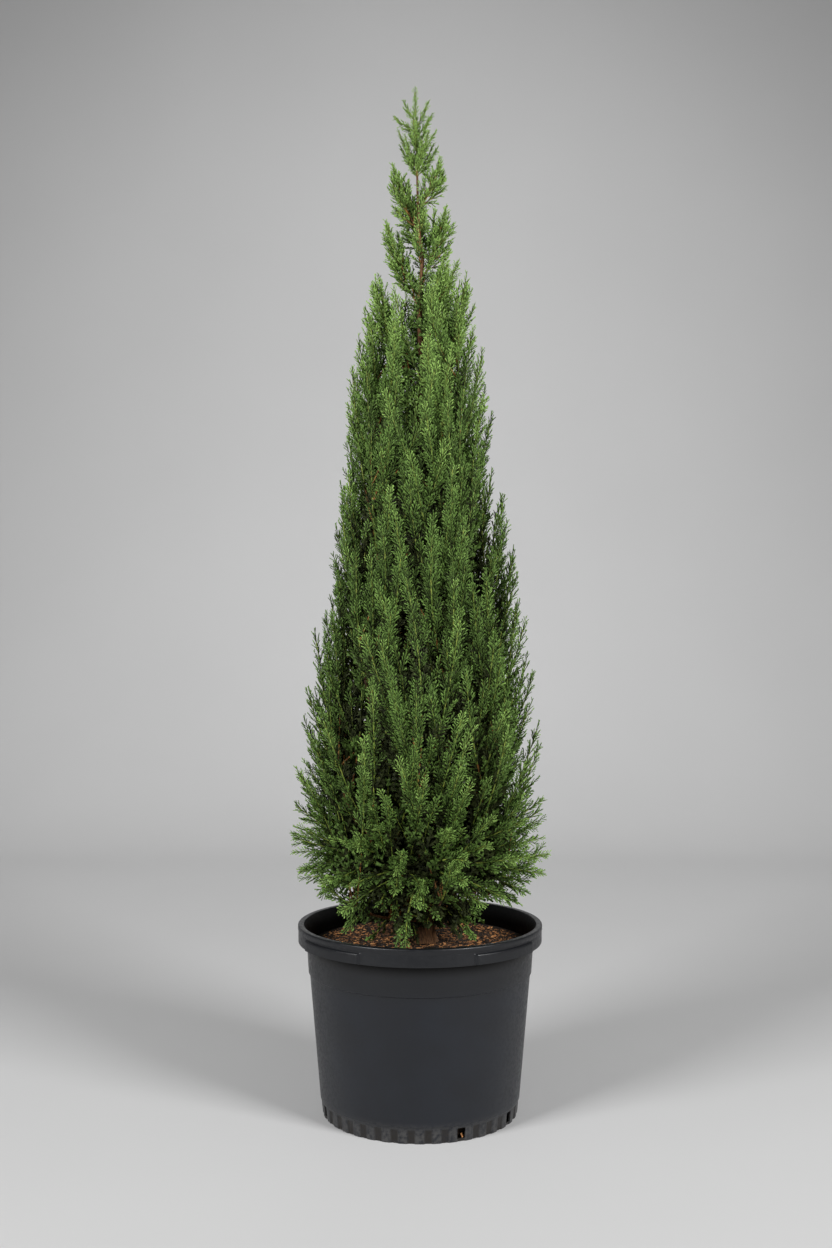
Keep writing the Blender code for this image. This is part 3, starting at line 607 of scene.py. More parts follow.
# Height and radius of the trunk, then height and how far it stands to the right.
TRUNK_RADII = ((0.30, 0.0165), (0.45, 0.0150), (0.80, 0.0105), (1.34, 0.0048), (1.62, 0.0021),
               (1.70, 0.0015))
TRUNK_LEAN = ((0.30, 0.0110), (0.80, 0.0065), (1.30, 0.0014), (1.37, -0.0018), (1.43, -0.0016),
              (1.465, 0.0022), (1.505, 0.0054), (1.552, -0.0010), (1.62, -0.0040), (1.80, -0.0088))
TRUNK_SWAY = 0.0022
TRUNK_SWAY_PITCH = 0.42
TRUNK_SWAY_TOP = 1.70
TRUNK_SWAY_FADE = 0.4
TRUNK_SIDES = 30
RING_SPACING = 0.0032
FLARE_RADIUS = 0.010
FLARE_HEIGHT = 0.014
FLARE_LOBES = 5
BARK_STRIPS = 420.0
TRUNK_BARK_DEPTH = 0.00045
BOUGH_BARK_DEPTH = 0.00022
# Height and radius of the crown's outline, and where its middle moves over to the trunk.
CROWN = (
    (0.300, 0.165), (0.363, 0.192), (0.423, 0.226), (0.467, 0.233), (0.564, 0.216), (0.644, 0.213),
    (0.776, 0.197), (0.900, 0.181), (1.041, 0.158), (1.130, 0.137), (1.284, 0.125), (1.430, 0.096),
    (1.580, 0.058), (1.670, 0.047), (1.727, 0.037), (1.760, 0.035), (1.785, 0.018), (1.803, 0.003),
)
CROWN_SHIFT_FOOT = 1.2
CROWN_SHIFT_LENGTH = 0.4
# Whorl: its boughs, its first turn in degrees, heights of their feet and tips, the tips' reach as a
# share of the crown's radius, and the elbows' reach and lift as shares of the boughs'.
WHORLS = (
    ("skirt", 5, 0.0, 0.345, 0.440, 0.90, 0.60, 0.05),
    ("low", 6, 26.0, 0.400, 0.760, 0.86, 1.02, 0.24),
    ("middle", 5, 2.0, 0.575, 0.990, 0.86, 1.04, 0.24),
    ("upper", 4, 40.0, 0.780, 1.195, 0.86, 1.06, 0.24),
    ("shoulder", 3, 75.0, 0.990, 1.365, 0.82, 1.06, 0.24),
)
TURN_JITTER = 5.0
HEIGHT_JITTER = 0.018
BOUGH_SHARE = 0.22
BOUGH_RADIUS_PER_LENGTH = 0.016
BOUGH_TAPER = 0.70
BOUGH_SIDES = 12
# How far up a limb its bark reaches, and the rings of its skin.
BOUGH_WOOD = (0.62, 34)
TUFT_WOOD = (0.22, 14)
COLLAR_SWELL = 0.7
COLLAR_LENGTH = 0.007
# Tuft: height of its foot on the trunk and place of its tip.
TUFTS = (
    ("top_left_low", 1.270, (-0.083, -0.012, 1.469)),
    ("top_right_low", 1.225, (0.084, 0.016, 1.474)),
    ("top_back_low", 1.300, (0.004, 0.074, 1.505)),
    ("top_front", 1.350, (0.050, -0.036, 1.500)),
    ("top_left", 1.421, (-0.058, 0.004, 1.575)),
    ("top_right", 1.470, (0.046, -0.008, 1.596)),
    ("top_back", 1.505, (-0.012, 0.044, 1.630)),
    ("crest_left", 1.553, (-0.048, 0.002, 1.674)),
    ("crest_right", 1.590, (0.036, -0.006, 1.682)),
)
TUFT_ELBOW_REACH = 0.72
TUFT_ELBOW_LIFT = 0.42
TUFT_SLIMNESS = 0.8
FOOT_BURIED = 0.8
STEM_TIP_RADIUS = 0.0010
UP = Vector((0.0, 0.0, 1.0))


def peeling_bark():
    """Juniper bark: thin strips that lift, grey-brown where they are old and orange underneath."""
    material, tree, shader, place = start_material("peeling_bark", Roughness=0.82)
    along = add_node(tree, "ShaderNodeMapping", {"Vector": place, "Scale": (1.0, 1.0, 0.12)})
    strips = add_node(tree, "ShaderNodeTexNoise", {"Vector": along, "Scale": per_metre(2.4), "Detail": 5.0,
                                                   "Roughness": 0.6})
    patches = add_node(tree, "ShaderNodeTexNoise", {"Vector": place, "Scale": per_metre(30.0), "Detail": 3.0})
    # The bark is younger, and so less grey, towards the trunk's top.
    height = add_node(tree, "ShaderNodeSeparateXYZ", {"Vector": place}).outputs["Z"]
    youth = add_node(tree, "ShaderNodeMapRange", {"Value": height, "From Min": 0.9, "From Max": 1.4,
                                                  "To Max": 0.3}, interpolation_type="SMOOTHSTEP")
    age = add_node(tree, "ShaderNodeMath", {0: patches, 1: youth}, operation="SUBTRACT")
    fresh = patched(tree, strips, 0.38, 0.62, linear("5a3c25"), linear("8c633e"))
    aged = patched(tree, strips, 0.40, 0.60, linear("241912"), linear("5e4838"))
    bump = add_node(tree, "ShaderNodeBump", {"Height": strips, "Strength": 0.6, "Distance": 0.0008})
    feed(tree, shader, {"Base Color": patched(tree, age, 0.42, 0.62, fresh, aged), "Normal": bump})
    return material


def read_off(table, place):
    """The value at a place in a table of places and values."""
    return float(np.interp(place, *zip(*table)))


def trunk_radius(height):
    """Radius of the trunk without its flare."""
    return read_off(TRUNK_RADII, height)


def trunk_centre(height):
    """Middle of the trunk: a slight lean with a slow sway that dies out towards the top."""
    turn = 2.0 * math.pi * height / TRUNK_SWAY_PITCH
    sway = TRUNK_SWAY * min(1.0, max(0.0, (TRUNK_SWAY_TOP - height) / TRUNK_SWAY_FADE))
    return Vector((read_off(TRUNK_LEAN, height) + sway * math.sin(turn), sway * math.cos(turn), height))


def crown_radius(height):
    """Radius of the crown's outline at a height."""
    return read_off(CROWN, height)


def crown_centre(height):
    """Middle of the crown: upright below, and on the trunk near the top."""
    share = min(1.0, max(0.0, (height - CROWN_SHIFT_FOOT) / CROWN_SHIFT_LENGTH))
    return Vector((share * trunk_centre(height).x, 0.0, height))


def bezier(start, elbow, end, share):
    """Point at a share of a bent limb."""
    rest = 1.0 - share
    return rest * rest * start + 2.0 * rest * share * elbow + share * share * end


def frame_across(direction):
    """Two unit vectors across a direction, the first one level."""
    level = direction.cross(UP)
    if level.length < 1e-4:
        level = Vector((1.0, 0.0, 0.0))
    level.normalize()
    return level, level.cross(direction).normalized()


def relief(point):
    """Height of the bark's long strips at a point, with finer ones on them, from about -1.5 to 1.5."""
    strip = noise.noise(Vector((point.x * BARK_STRIPS, point.y * BARK_STRIPS, point.z * BARK_STRIPS * 0.10)))
    fine = noise.noise(Vector((point.x * 2.7 * BARK_STRIPS, point.y * 2.7 * BARK_STRIPS,
                               point.z * BARK_STRIPS * 0.35)))
    return strip + 0.5 * fine


def bark_tube(path, radii, flares, sides, depth):
    """Points and faces of a limb whose surface carries the bark's strips; a flare swells it in lobes."""
    points = []
    last = len(path) - 1
    for ring, (centre, radius, flare) in enumerate(zip(path, radii, flares)):
        direction = (path[min(ring + 1, last)] - path[max(ring - 1, 0)]).normalized()
        level, upright = frame_across(direction)
        for side in range(sides):
            turn = 2.0 * math.pi * side / sides
            out = math.cos(turn) * level + math.sin(turn) * upright
            bare = centre + out * (radius + flare * (0.70 + 0.25 * math.cos(FLARE_LOBES * turn)))
            points.append(bare + out * (depth * relief(bare)))
    points.extend([path[0], path[-1]])
    return points, tube_faces(len(path), sides)


def make_trunk(bark):
    """The whole trunk, cut flat at the mix, with lobes of root flare at its foot."""
    heights = [float(height) for height in np.arange(TRUNK_FOOT, TRUNK_TIP, RING_SPACING)]
    path = [trunk_centre(height) for height in heights]
    radii = [trunk_radius(height) for height in heights]
    flares = [FLARE_RADIUS * math.exp(-(height - TRUNK_FOOT) / FLARE_HEIGHT) for height in heights]
    points, faces = bark_tube(path, radii, flares, TRUNK_SIDES, TRUNK_BARK_DEPTH)
    for point in points[:TRUNK_SIDES]:
        point.z = TRUNK_FOOT
    return mesh_object("trunk_bark", points, faces, bark, smooth=60.0)


class Limb:
    """A bough with the stem that goes on from it into its foliage, or a tuft's stem on the trunk."""

    def __init__(self, name, zone, foot_height, tip, elbow_reach, elbow_lift, has_bough):
        self.name = name
        self.zone = zone
        middle = trunk_centre(foot_height)
        away = Vector((tip.x - middle.x, tip.y - middle.y, 0.0))
        rise = tip.z - foot_height
        out = away.normalized()
        foot_radius = math.hypot(away.length, rise) * BOUGH_RADIUS_PER_LENGTH
        self.radius = foot_radius if has_bough else TUFT_SLIMNESS * foot_radius * BOUGH_TAPER
        self.has_bough = has_bough
        self.start = middle + out * (FOOT_BURIED * trunk_radius(foot_height))
        self.elbow = middle + out * (away.length * elbow_reach) + UP * (rise * elbow_lift)
        self.end = tip

    def at(self, share):
        """Point and heading at a share of the limb."""
        heading = (1.0 - share) * (self.elbow - self.start) + share * (self.end - self.elbow)
        return bezier(self.start, self.elbow, self.end, share), heading.normalized()

    def path(self, shares):
        """Points at shares of the limb."""
        return [self.at(float(share))[0] for share in shares]

    def radius_at(self, share):
        """Radius at a share of the limb."""
        return self.radius + (STEM_TIP_RADIUS - self.radius) * share ** 0.75


def plan_limbs():
    """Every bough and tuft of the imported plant, from the whorls at the mix to the crest."""
    draw = np.random.default_rng(5)
    limbs = []
    for zone, count, first_turn, foot, top, tip_reach, reach, lift in WHORLS:
        for number in range(count):
            turn = math.radians(first_turn + 360.0 * number / count + TURN_JITTER * draw.uniform(-1, 1))
            rise = float(HEIGHT_JITTER * draw.uniform(-1, 1))
            height = top + rise
            tip = crown_centre(height) + outwards(turn, crown_radius(height) * tip_reach)
            limbs.append(Limb(f"{zone}_{number + 1}", zone, foot + 0.5 * rise, tip, reach, lift, True))
    for name, foot, tip in TUFTS:
        limbs.append(Limb(name, "top", foot, Vector(tip), TUFT_ELBOW_REACH, TUFT_ELBOW_LIFT, False))
    return limbs


def make_boughs(limbs, bark):
    """Boughs with the woody part of their stems, in one piece, swollen where they leave the trunk."""
    points = []
    faces = []
    for limb in limbs:
        woody, rings = BOUGH_WOOD if limb.has_bough else TUFT_WOOD
        shares = np.linspace(0.0, woody, rings)
        path = limb.path(shares)
        swell = [1.0 + COLLAR_SWELL * math.exp(-(point - path[0]).length / COLLAR_LENGTH) for point in path]
        radii = [limb.radius_at(float(share)) * more for share, more in zip(shares, swell)]
        skin, corners = bark_tube(path, radii, [0.0] * rings, BOUGH_SIDES, BOUGH_BARK_DEPTH)
        first = len(points)
        points.extend(skin)
        faces.extend([tuple(first + corner for corner in face) for face in corners])
    return mesh_object("bough_bark", points, faces, bark, smooth=60.0)


BARK = peeling_bark()
limbs = plan_limbs()
trunk = make_trunk(BARK)
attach(trunk, "root")
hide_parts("trunk")
boughs = make_boughs(limbs, BARK)
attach(boughs, "root")
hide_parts(*[f"bough_{limb.name}" for limb in limbs if limb.has_bough])


# Twigs
# Twigs leave the boughs' stems and turn upright as plumes, whose tips make up the crown's skin. A
# plume's twig is brown and woody at its foot, and yellow-green where this year's growth goes on.

GOLDEN_TURN = math.radians(137.5)
# Plume: share of it where its sprays begin, its longest spray, how closely they stand, and how many
# degrees they lean out.
PLUMES = {
    "stem": (0.28, 0.052, 0.0060, 31.0),
    "skin": (0.14, 0.055, 0.0060, 31.0),
    "inner": (0.14, 0.056, 0.0098, 31.0),
    "heart": (0.14, 0.062, 0.0100, 31.0),
    "hem": (0.14, 0.056, 0.0072, 31.0),
    "ruff": (0.14, 0.042, 0.0076, 31.0),
    "tuft_stem": (0.34, 0.027, 0.0052, 24.0),
    "tuft_shoot": (0.08, 0.030, 0.0052, 24.0),
    "trunk_shoot": (0.10, 0.026, 0.0052, 24.0),
    "leader": (0.02, 0.019, 0.0036, 20.0),
    "leader_shoot": (0.12, 0.018, 0.0036, 20.0),
}
# Layer: heights it fills, skin for each tip, reach as a share of the outline, share of a plume's length.
LAYERS = (
    ("skin", 0.400, 1.470, 0.0026, (0.87, 1.00), 1.0),
    ("inner", 0.370, 1.400, 0.0060, (0.55, 0.82), 0.8),
    ("heart", 0.370, 1.360, 0.0115, (0.20, 0.46), 0.7),
    ("hem", 0.312, 0.430, 0.0026, (0.50, 0.98), 1.0),
    ("ruff", 0.316, 0.356, 0.0011, (0.16, 0.50), 0.8),
)
# Height of a tip, with its plume's length, then with its lean away from upright.
PLUME_LENGTHS = ((0.31, 0.10), (0.35, 0.12), (0.46, 0.18), (0.62, 0.29), (1.05, 0.30), (1.30, 0.22),
                 (1.50, 0.14))
PLUME_LEANS = ((0.31, 136.0), (0.36, 120.0), (0.42, 100.0), (0.48, 78.0), (0.54, 50.0), (0.62, 26.0),
               (0.75, 14.0), (1.00, 10.0), (1.50, 8.0))
LEAN_JITTER = 7.0
SIDE_JITTER = 0.22
TIP_JITTER = 0.016
RIDGE_DEPTH = 0.32
RIDGES_ACROSS = 3.5625
RIDGES_UP = 2.4
HEADING_WEIGHT = 2.2
FEEDERS = 30
FIRST_TUFT_FEEDER = 0.15
LAST_FEEDER = 0.94
PLUME_ELBOW = 0.55
TWIG_SHARE = 0.45
TWIG_LEAST_RADIUS = 0.0006
TUFT_PLUMES = 13
TUFT_WIDTH = 0.046
TUFT_DROP = 0.008
TUFT_INSET = 0.006
SHOOT_RADIUS = 0.0010
# In front of the trunk near its top the crown is open: across, and between two heights.
OPENING = ((-0.032, 0.012), (1.35, 1.50))
TRUNK_SHOOTS = 11
SHOOT_HEIGHTS = (1.40, 1.58)
SHOOT_RISE = 0.055
SHOOT_REACH = 0.019
TRUNK_SHOOT_RADIUS = 0.0009
LEADER_TOP = Vector((-0.0088, 0.0, 1.800))
# Side shoots of the leader, all round it: place of the tip and how far under it the shoot leaves.
LEADER_SHOOTS = (
    ((-0.048, 0.004, 1.757), 0.030), ((-0.028, -0.005, 1.777), 0.034), ((0.014, -0.004, 1.776), 0.042),
    ((0.020, 0.006, 1.758), 0.039), ((0.027, -0.004, 1.725), 0.045), ((-0.038, 0.003, 1.729), 0.070),
    ((-0.006, 0.028, 1.752), 0.045), ((-0.012, -0.028, 1.740), 0.050), ((0.010, 0.028, 1.712), 0.050),
    ((0.014, -0.026, 1.716), 0.050), ((-0.034, 0.012, 1.704), 0.050), ((-0.026, -0.012, 1.714), 0.055),
    ((0.022, 0.010, 1.704), 0.050), ((0.014, -0.012, 1.742), 0.050), ((-0.020, 0.014, 1.742), 0.050),
    ((0.004, -0.022, 1.698), 0.050), ((0.030, 0.000, 1.697), 0.048), ((-0.018, 0.022, 1.690), 0.045),
)
WOODY_SHARE = 0.42
TWIG_TIP_RADIUS = 0.0007
TWIG_SIDES = 5


class Plume:
    """One twig with its foliage: a bent path, the radius of its foot, and how its sprays stand on it."""

    def __init__(self, kind, zone, path, radius):
        self.zone = zone
        self.path = path
        self.radius = radius
        self.first_spray, self.longest, self.spacing, self.spread = PLUMES[kind]
        self.length = sum((far - near).length for near, far in zip(path, path[1:]))

    def at(self, share):
        """Point and heading at a share of the path."""
        place = share * (len(self.path) - 1)
        first = min(int(place), len(self.path) - 2)
        heading = (self.path[first + 1] - self.path[first]).normalized()
        return self.path[first].lerp(self.path[first + 1], place - first), heading


def bent(root, elbow, tip, points):
    """Points along a twig from its root to its tip."""
    return [bezier(root, elbow, tip, float(share)) for share in np.linspace(0.0, 1.0, points)]


def channel(out, height):
    """How deep a place lies in one of the upright channels between the crown's ridges, from 0 to 1."""
    wave = noise.noise(Vector((out.x * RIDGES_ACROSS, out.y * RIDGES_ACROSS, height * RIDGES_UP + 17.0)))
    return min(1.0, max(0.0, -3.0 * wave))


def tip_places(low, high, skin_each, reaches, draw):
    """Plume tips spread evenly over the crown's skin, each the golden turn on from the one below."""
    tips = []
    height = low
    turn = draw.uniform(0.0, 2.0 * math.pi)
    while height < high:
        place = height + draw.uniform(-TIP_JITTER, TIP_JITTER)
        out = outwards(turn)
        reach = crown_radius(place) * draw.uniform(*reaches) * (1.0 - RIDGE_DEPTH * channel(out, place))
        tips.append((crown_centre(place) + out * reach, out))
        height += skin_each / (2.0 * math.pi * crown_radius(height))
        turn += GOLDEN_TURN + draw.uniform(-0.10, 0.10)
    return tips


def feeders(limbs):
    """Places on the limbs' stems that a twig can leave from, with the limb and the share of each."""
    places = []
    for limb in limbs:
        first = BOUGH_SHARE if limb.has_bough else FIRST_TUFT_FEEDER
        for share in np.linspace(first, LAST_FEEDER, FEEDERS):
            places.append((limb.at(float(share))[0], limb, float(share)))
    return places


def best_feeder(places, rows, tip, heading, length):
    """The place on a stem that suits a twig of a length and heading best."""
    away = np.array(tip) - rows
    far = np.linalg.norm(away, axis=1)
    along = (away @ np.array(heading)) / np.maximum(far, 1e-6)
    cost = np.abs(far - length) / length + HEADING_WEIGHT * (1.0 - along)
    return places[int(np.argmin(cost))]


def in_opening(tip):
    """Whether a plume's tip would stand before the bare part of the trunk."""
    (left, right), (low, high) = OPENING
    return left < tip.x < right and tip.y < 0.0 and low < tip.z < high


def grow_plumes(limbs):
    """The stems' own ends, then the twigs that reach every place in the skin and inside it."""
    draw = np.random.default_rng(31)
    plumes = []
    for limb in limbs:
        if limb.has_bough:
            own = limb.path(np.linspace(BOUGH_SHARE, 1.0, 14))
            plumes.append(Plume("stem", limb.zone, own, limb.radius_at(BOUGH_SHARE)))
        else:
            plumes.extend(tuft_plumes(limb, draw))
    places = feeders(limbs)
    rows = np.array([tuple(place) for place, limb, share in places])
    for name, low, high, skin_each, reaches, length_share in LAYERS:
        for tip, out in tip_places(low, high, skin_each, reaches, draw):
            lean = math.radians(read_off(PLUME_LEANS, tip.z) + draw.uniform(-LEAN_JITTER, LEAN_JITTER))
            side = UP.cross(out) * draw.uniform(-SIDE_JITTER, SIDE_JITTER)
            heading = (UP * math.cos(lean) + out * math.sin(lean) + side).normalized()
            length = length_share * read_off(PLUME_LENGTHS, tip.z) * draw.uniform(0.8, 1.2)
            root, limb, share = best_feeder(places, rows, tip, heading, length)
            elbow = tip - heading * (PLUME_ELBOW * (tip - root).length)
            radius = TWIG_SHARE * limb.radius_at(share) + TWIG_LEAST_RADIUS
            if not in_opening(tip):
                plumes.append(Plume(name, limb.zone, bent(root, elbow, tip, 9), radius))
    return plumes


def tuft_plumes(limb, draw):
    """A tuft: the stem's own end and upright shoots round it, lower towards the tuft's sides."""
    own = limb.path(np.linspace(0.10, 0.90, 11))
    plumes = [Plume("tuft_stem", "top", own, limb.radius_at(0.10))]
    turn = draw.uniform(0.0, 2.0 * math.pi)
    for number in range(TUFT_PLUMES):
        share = 0.06 + 0.60 * (number + draw.uniform(0.0, 0.6)) / TUFT_PLUMES
        root = limb.at(share)[0]
        turn += GOLDEN_TURN
        aside = outwards(turn) * (0.5 * TUFT_WIDTH * math.sqrt(draw.uniform(0.15, 1.0)))
        over = limb.at(min(1.0, share + 0.42 * draw.uniform(0.8, 1.2)))[0]
        tip = over + aside - UP * (0.5 * aside.length + TUFT_DROP)
        outward = tip - crown_centre(tip.z)
        beyond = outward.length - (crown_radius(tip.z) - TUFT_INSET)
        if beyond > 0.0:
            tip -= outward.normalized() * beyond
        elbow = root.lerp(tip, 0.45) + aside * 0.35
        plumes.append(Plume("tuft_shoot", "top", bent(root, elbow, tip, 7), SHOOT_RADIUS))
    return plumes


def trunk_shoots():
    """Short shoots that stand close to the bare trunk, between the tufts."""
    plumes = []
    for number, height in enumerate(np.linspace(*SHOOT_HEIGHTS, TRUNK_SHOOTS)):
        root = trunk_centre(float(height))
        out = outwards(-0.5 * math.pi + GOLDEN_TURN * number) * SHOOT_REACH
        tip = root + out + UP * SHOOT_RISE
        elbow = root + out + UP * (0.3 * SHOOT_RISE)
        plumes.append(Plume("trunk_shoot", "top", bent(root, elbow, tip, 6), TRUNK_SHOOT_RADIUS))
    return plumes


def leader_plumes():
    """The shoot that goes on from the trunk's tip, with short side shoots that stand up round it."""
    foot = trunk_centre(TRUNK_TIP - 0.004)
    stem = [foot.lerp(LEADER_TOP, float(share)) for share in np.linspace(0.0, 1.0, 9)]
    plumes = [Plume("leader", "leader", stem, trunk_radius(TRUNK_TIP))]
    for place, drop in LEADER_SHOOTS:
        tip = Vector(place)
        across = tip.x - LEADER_TOP.x
        height = tip.z - drop
        root = trunk_centre(height)
        if height > TRUNK_TIP:
            root = foot.lerp(LEADER_TOP, (height - foot.z) / (LEADER_TOP.z - foot.z))
        bow = Vector((0.10 * across, 0.10 * tip.y, -0.04 * math.hypot(across, tip.y)))
        path = bent(root, root.lerp(tip, 0.5) + bow, tip, 7)
        plumes.append(Plume("leader_shoot", "leader", path, SHOOT_RADIUS))
    return plumes


def tube_tree():
    """Nodes that put a round tapering skin on lines, as thick as their points say."""
    tree, start = start_tree("twig_tubes", Sides="Int", Finish="Material")
    thickness = add_node(tree, "GeometryNodeInputNamedAttribute", {"Name": "thickness"}, data_type="FLOAT")
    lines = add_node(tree, "GeometryNodeMeshToCurve", {"Mesh": start.outputs["Geometry"]})
    circle = add_node(tree, "GeometryNodeCurvePrimitiveCircle", {"Resolution": start.outputs["Sides"],
                                                                 "Radius": 1.0})
    skin = add_node(tree, "GeometryNodeCurveToMesh", {"Curve": lines, "Profile Curve": circle,
                                                      "Scale": thickness, "Fill Caps": True})
    end_tree(tree, start, add_node(tree, "GeometryNodeSetShadeSmooth", {"Geometry": skin}))
    return tree


def twig_piece(name, tree, lines, material):
    """A joined piece of tubes; a line is its points and their radii."""
    edges = []
    first = 0
    for path, radii in lines:
        edges.extend((first + step, first + step + 1) for step in range(len(path) - 1))
        first += len(path)
    piece = mesh_object(name, [point for path, radii in lines for point in path], [], edges=edges)
    store(piece, "thickness", "FLOAT", [float(radius) for path, radii in lines for radius in radii])
    run_tree(piece, tree, {"Sides": TWIG_SIDES, "Finish": material})
    return piece


def make_twigs(plumes):
    """All the twigs, the woody parts in one piece and the green ones in another."""
    woody = []
    green = []
    for plume in plumes:
        split = max(2, round(WOODY_SHARE * (len(plume.path) - 1)))
        radii = np.linspace(plume.radius, TWIG_TIP_RADIUS, len(plume.path))
        if plume.zone == "leader":
            split = 0
        else:
            woody.append((plume.path[:split + 1], radii[:split + 1]))
        green.append((plume.path[split:], radii[split:]))
    tree = tube_tree()
    # Second-year wood: smooth thin bark that has just turned from green to orange-brown.
    young_bark = mottled_wood("young_bark", 0.7, 9.0, 3.0, (0.4, 0.6), "7c4f26", "a57636")
    # This year's twig, still wrapped in scale leaves: yellow-green and a little waxy.
    green_wood = mottled_wood("green_wood", 0.55, 9.0, 3.0, (0.4, 0.6), "68802c", "93a044")
    return [twig_piece("twigs_woody", tree, woody, young_bark),
            twig_piece("twigs_green", tree, green, green_wood)]


plumes = grow_plumes(limbs) + trunk_shoots() + leader_plumes()
for twigs in make_twigs(plumes):
    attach(twigs, "root")


# Sprays
# Juniper foliage is scale leaves pressed to thin cords. The cords branch in flat sprays that stand
# round every twig. Each spray is painted in a green for the light it would get: painted shade inside
# the crown and on sprays that face inwards, fresh green where the light falls, tipped with yellow.

# Spray: length of its axis, shortest length it is used for, cords along it, share of them that fork,
# and width of each cord near the skin and deeper in the crown.
SPRAY_SIZES = (
    (0.056, 0.047, 12, 0.20, 0.0016, 0.0025),
    (0.040, 0.033, 10, 0.15, 0.0016, 0.0025),
    (0.027, 0.022, 7, 0.10, 0.0016, 0.0024),
    (0.017, 0.000, 6, 0.00, 0.0017, 0.0022),
)
# Each spray comes in two forms, the second with a cord fewer: length, cords, share forked and width.
FINE_FORMS = []
PLAIN_FORMS = []
for length, shortest, cords, forked, fine, plain in SPRAY_SIZES:
    for count in (cords, cords - 1):
        FINE_FORMS.append((length, count, forked, fine))
        PLAIN_FORMS.append((length, count, 0.0, plain))
COARSE_FORMS = [(0.060, 6, 0.0, 0.0070), (0.060, 5, 0.0, 0.0070)]
SPRAY_FORMS = FINE_FORMS + PLAIN_FORMS + COARSE_FORMS
PLAIN_DEPTH = 0.040
COARSE_DEPTH = 0.080
INWARD_FACING = -0.20
# Depth in the crown: how much further apart a plume's sprays stand there than at the skin.
THINNING = ((0.0, 1.0), (0.040, 1.0), (0.080, 1.5), (0.120, 2.4))
SHORTEST_SPRAY = 0.006
OUTLINE_SLACK = 0.006
MIX_CLEARANCE = 0.004
RIM_CLEARANCE = 0.006
RIM_CLEAR_REACH = 0.194
SPRAY_BURIED = 0.0008
LAST_SPRAY = 0.50
CORD_LENGTHS = (0.0150, 0.0085)
CORD_ANGLE = 34.0
# Green: its dark and light colour, and the most light that a spray of it gets.
GREENS = {
    "shaded": ("13150a", "363e1e", 0.15),
    "mature": ("1c200e", "587335", 0.70),
    "outer": ("292f15", "709146", 1.35),
    "young": ("3f4820", "94b85f", math.inf),
}
# Light that a spray gets at the skin, the depth that takes one part of it away, what facing outwards
# adds, and what the fresh end of a lit plume adds.
SKIN_LIGHT = 0.9
SHADE_DEPTH = 0.075
FACING_LIGHT = 0.7
END_LIGHT = 0.25
ZONE_LIGHT = {"top": 0.90, "leader": 1.1, "shoulder": 0.55, "middle": -0.10, "low": -0.05, "skirt": 0.08}
ZONES = {zone: [limb.name for limb in limbs if limb.zone == zone]
         for zone in ("skirt", "low", "middle", "upper", "shoulder", "top")}
ZONES["leader"] = ["leader"]


def scale_leaves(name, dark, light):
    """Scale leaves: a waxy cuticle over green, mottled from leaf to leaf, each about 2 mm long. A cord is
    darker at its foot than on its fresh tip: older there, and painted shade near the spray's axis."""
    material, tree, shader, place = start_material(name, Roughness=0.62, Specular_IOR_Level=0.20)
    leaves = add_node(tree, "ShaderNodeTexNoise", {"Vector": place, "Scale": per_metre(3.0), "Detail": 2.0})
    growth = add_node(tree, "ShaderNodeAttribute", attribute_name="growth").outputs["Fac"]
    # Painted shade: each cord is painted darker at its foot, near the spray's axis, on top of its age.
    fresh = add_node(tree, "ShaderNodeMath", {0: leaves, 1: growth}, operation="ADD")
    feed(tree, shader, {"Base Color": patched(tree, fresh, 0.60, 1.40, linear(dark), linear(light))})
    return material


def add_cord(points, faces, growth, root, heading, length, width, ages_and_shade):
    """Adds one cord: a closed wedge of four faces, which looks about as wide from every side."""
    level, upright = frame_across(heading)
    first = len(points)
    tip = root + heading * length
    points.extend([root - level * (width / 2.0), root + level * (width / 2.0)])
    points.extend([tip - upright * (width / 2.0), tip + upright * (width / 2.0)])
    growth.extend([ages_and_shade[0], ages_and_shade[0], ages_and_shade[1], ages_and_shade[1]])
    for corners in ((0, 2, 1), (0, 1, 3), (0, 3, 2), (1, 2, 3)):
        faces.append(tuple(first + corner for corner in corners))


def spray_form(number, length, cords, forked, width, draw):
    """One flat spray along +Z, its cords to both sides in X, a little out of plane. Each point stores
    how fresh it is, with painted shade, from 0 at a cord's dark foot to 1 at its tip."""
    points = []
    faces = []
    growth = []
    add_cord(points, faces, growth, Vector(), UP, length, width, (0.2, 1.0))
    long, short = CORD_LENGTHS
    for cord in range(cords):
        share = 0.06 + 0.86 * (cord + draw.uniform(-0.2, 0.2)) / cords
        side = 1.0 if cord % 2 else -1.0
        angle = math.radians(CORD_ANGLE * draw.uniform(0.75, 1.2))
        lift = draw.uniform(-0.5, 0.5)
        heading = Vector((side * math.sin(angle), lift * math.sin(angle), math.cos(angle))).normalized()
        reach = (long + (short - long) * share) * draw.uniform(0.8, 1.2) * (0.7 + 0.3 * length / 0.056)
        root = UP * (length * share)
        add_cord(points, faces, growth, root, heading, reach, width, (0.0, 1.0))
        if draw.random() < forked:
            fork = (heading.lerp(UP, 0.5) + Vector((0.0, draw.uniform(-0.35, 0.35), 0.0))).normalized()
            add_cord(points, faces, growth, root + heading * (0.35 * reach), fork, 0.62 * reach, 0.9 * width,
                     (0.3, 1.0))
    form = mesh_object(f"spray_{number}", points, faces)
    store(form, "growth", "FLOAT", growth)
    return form


def lean_away(heading, turn, angle):
    """A heading that leans away from another by an angle, at a turn about it."""
    level, upright = frame_across(heading)
    side = math.cos(turn) * level + math.sin(turn) * upright
    return (heading * math.cos(angle) + side * math.sin(angle)).normalized()


def first_form(wanted, depth, facing):
    """Number of the first of the two forms that suit a spray's length, depth and facing."""
    if depth > COARSE_DEPTH:
        return len(FINE_FORMS) + len(PLAIN_FORMS)
    size = next(size for size, row in enumerate(SPRAY_SIZES) if wanted > row[1])
    deeper = depth > PLAIN_DEPTH or facing < INWARD_FACING
    return 2 * size + (len(FINE_FORMS) if deeper else 0)


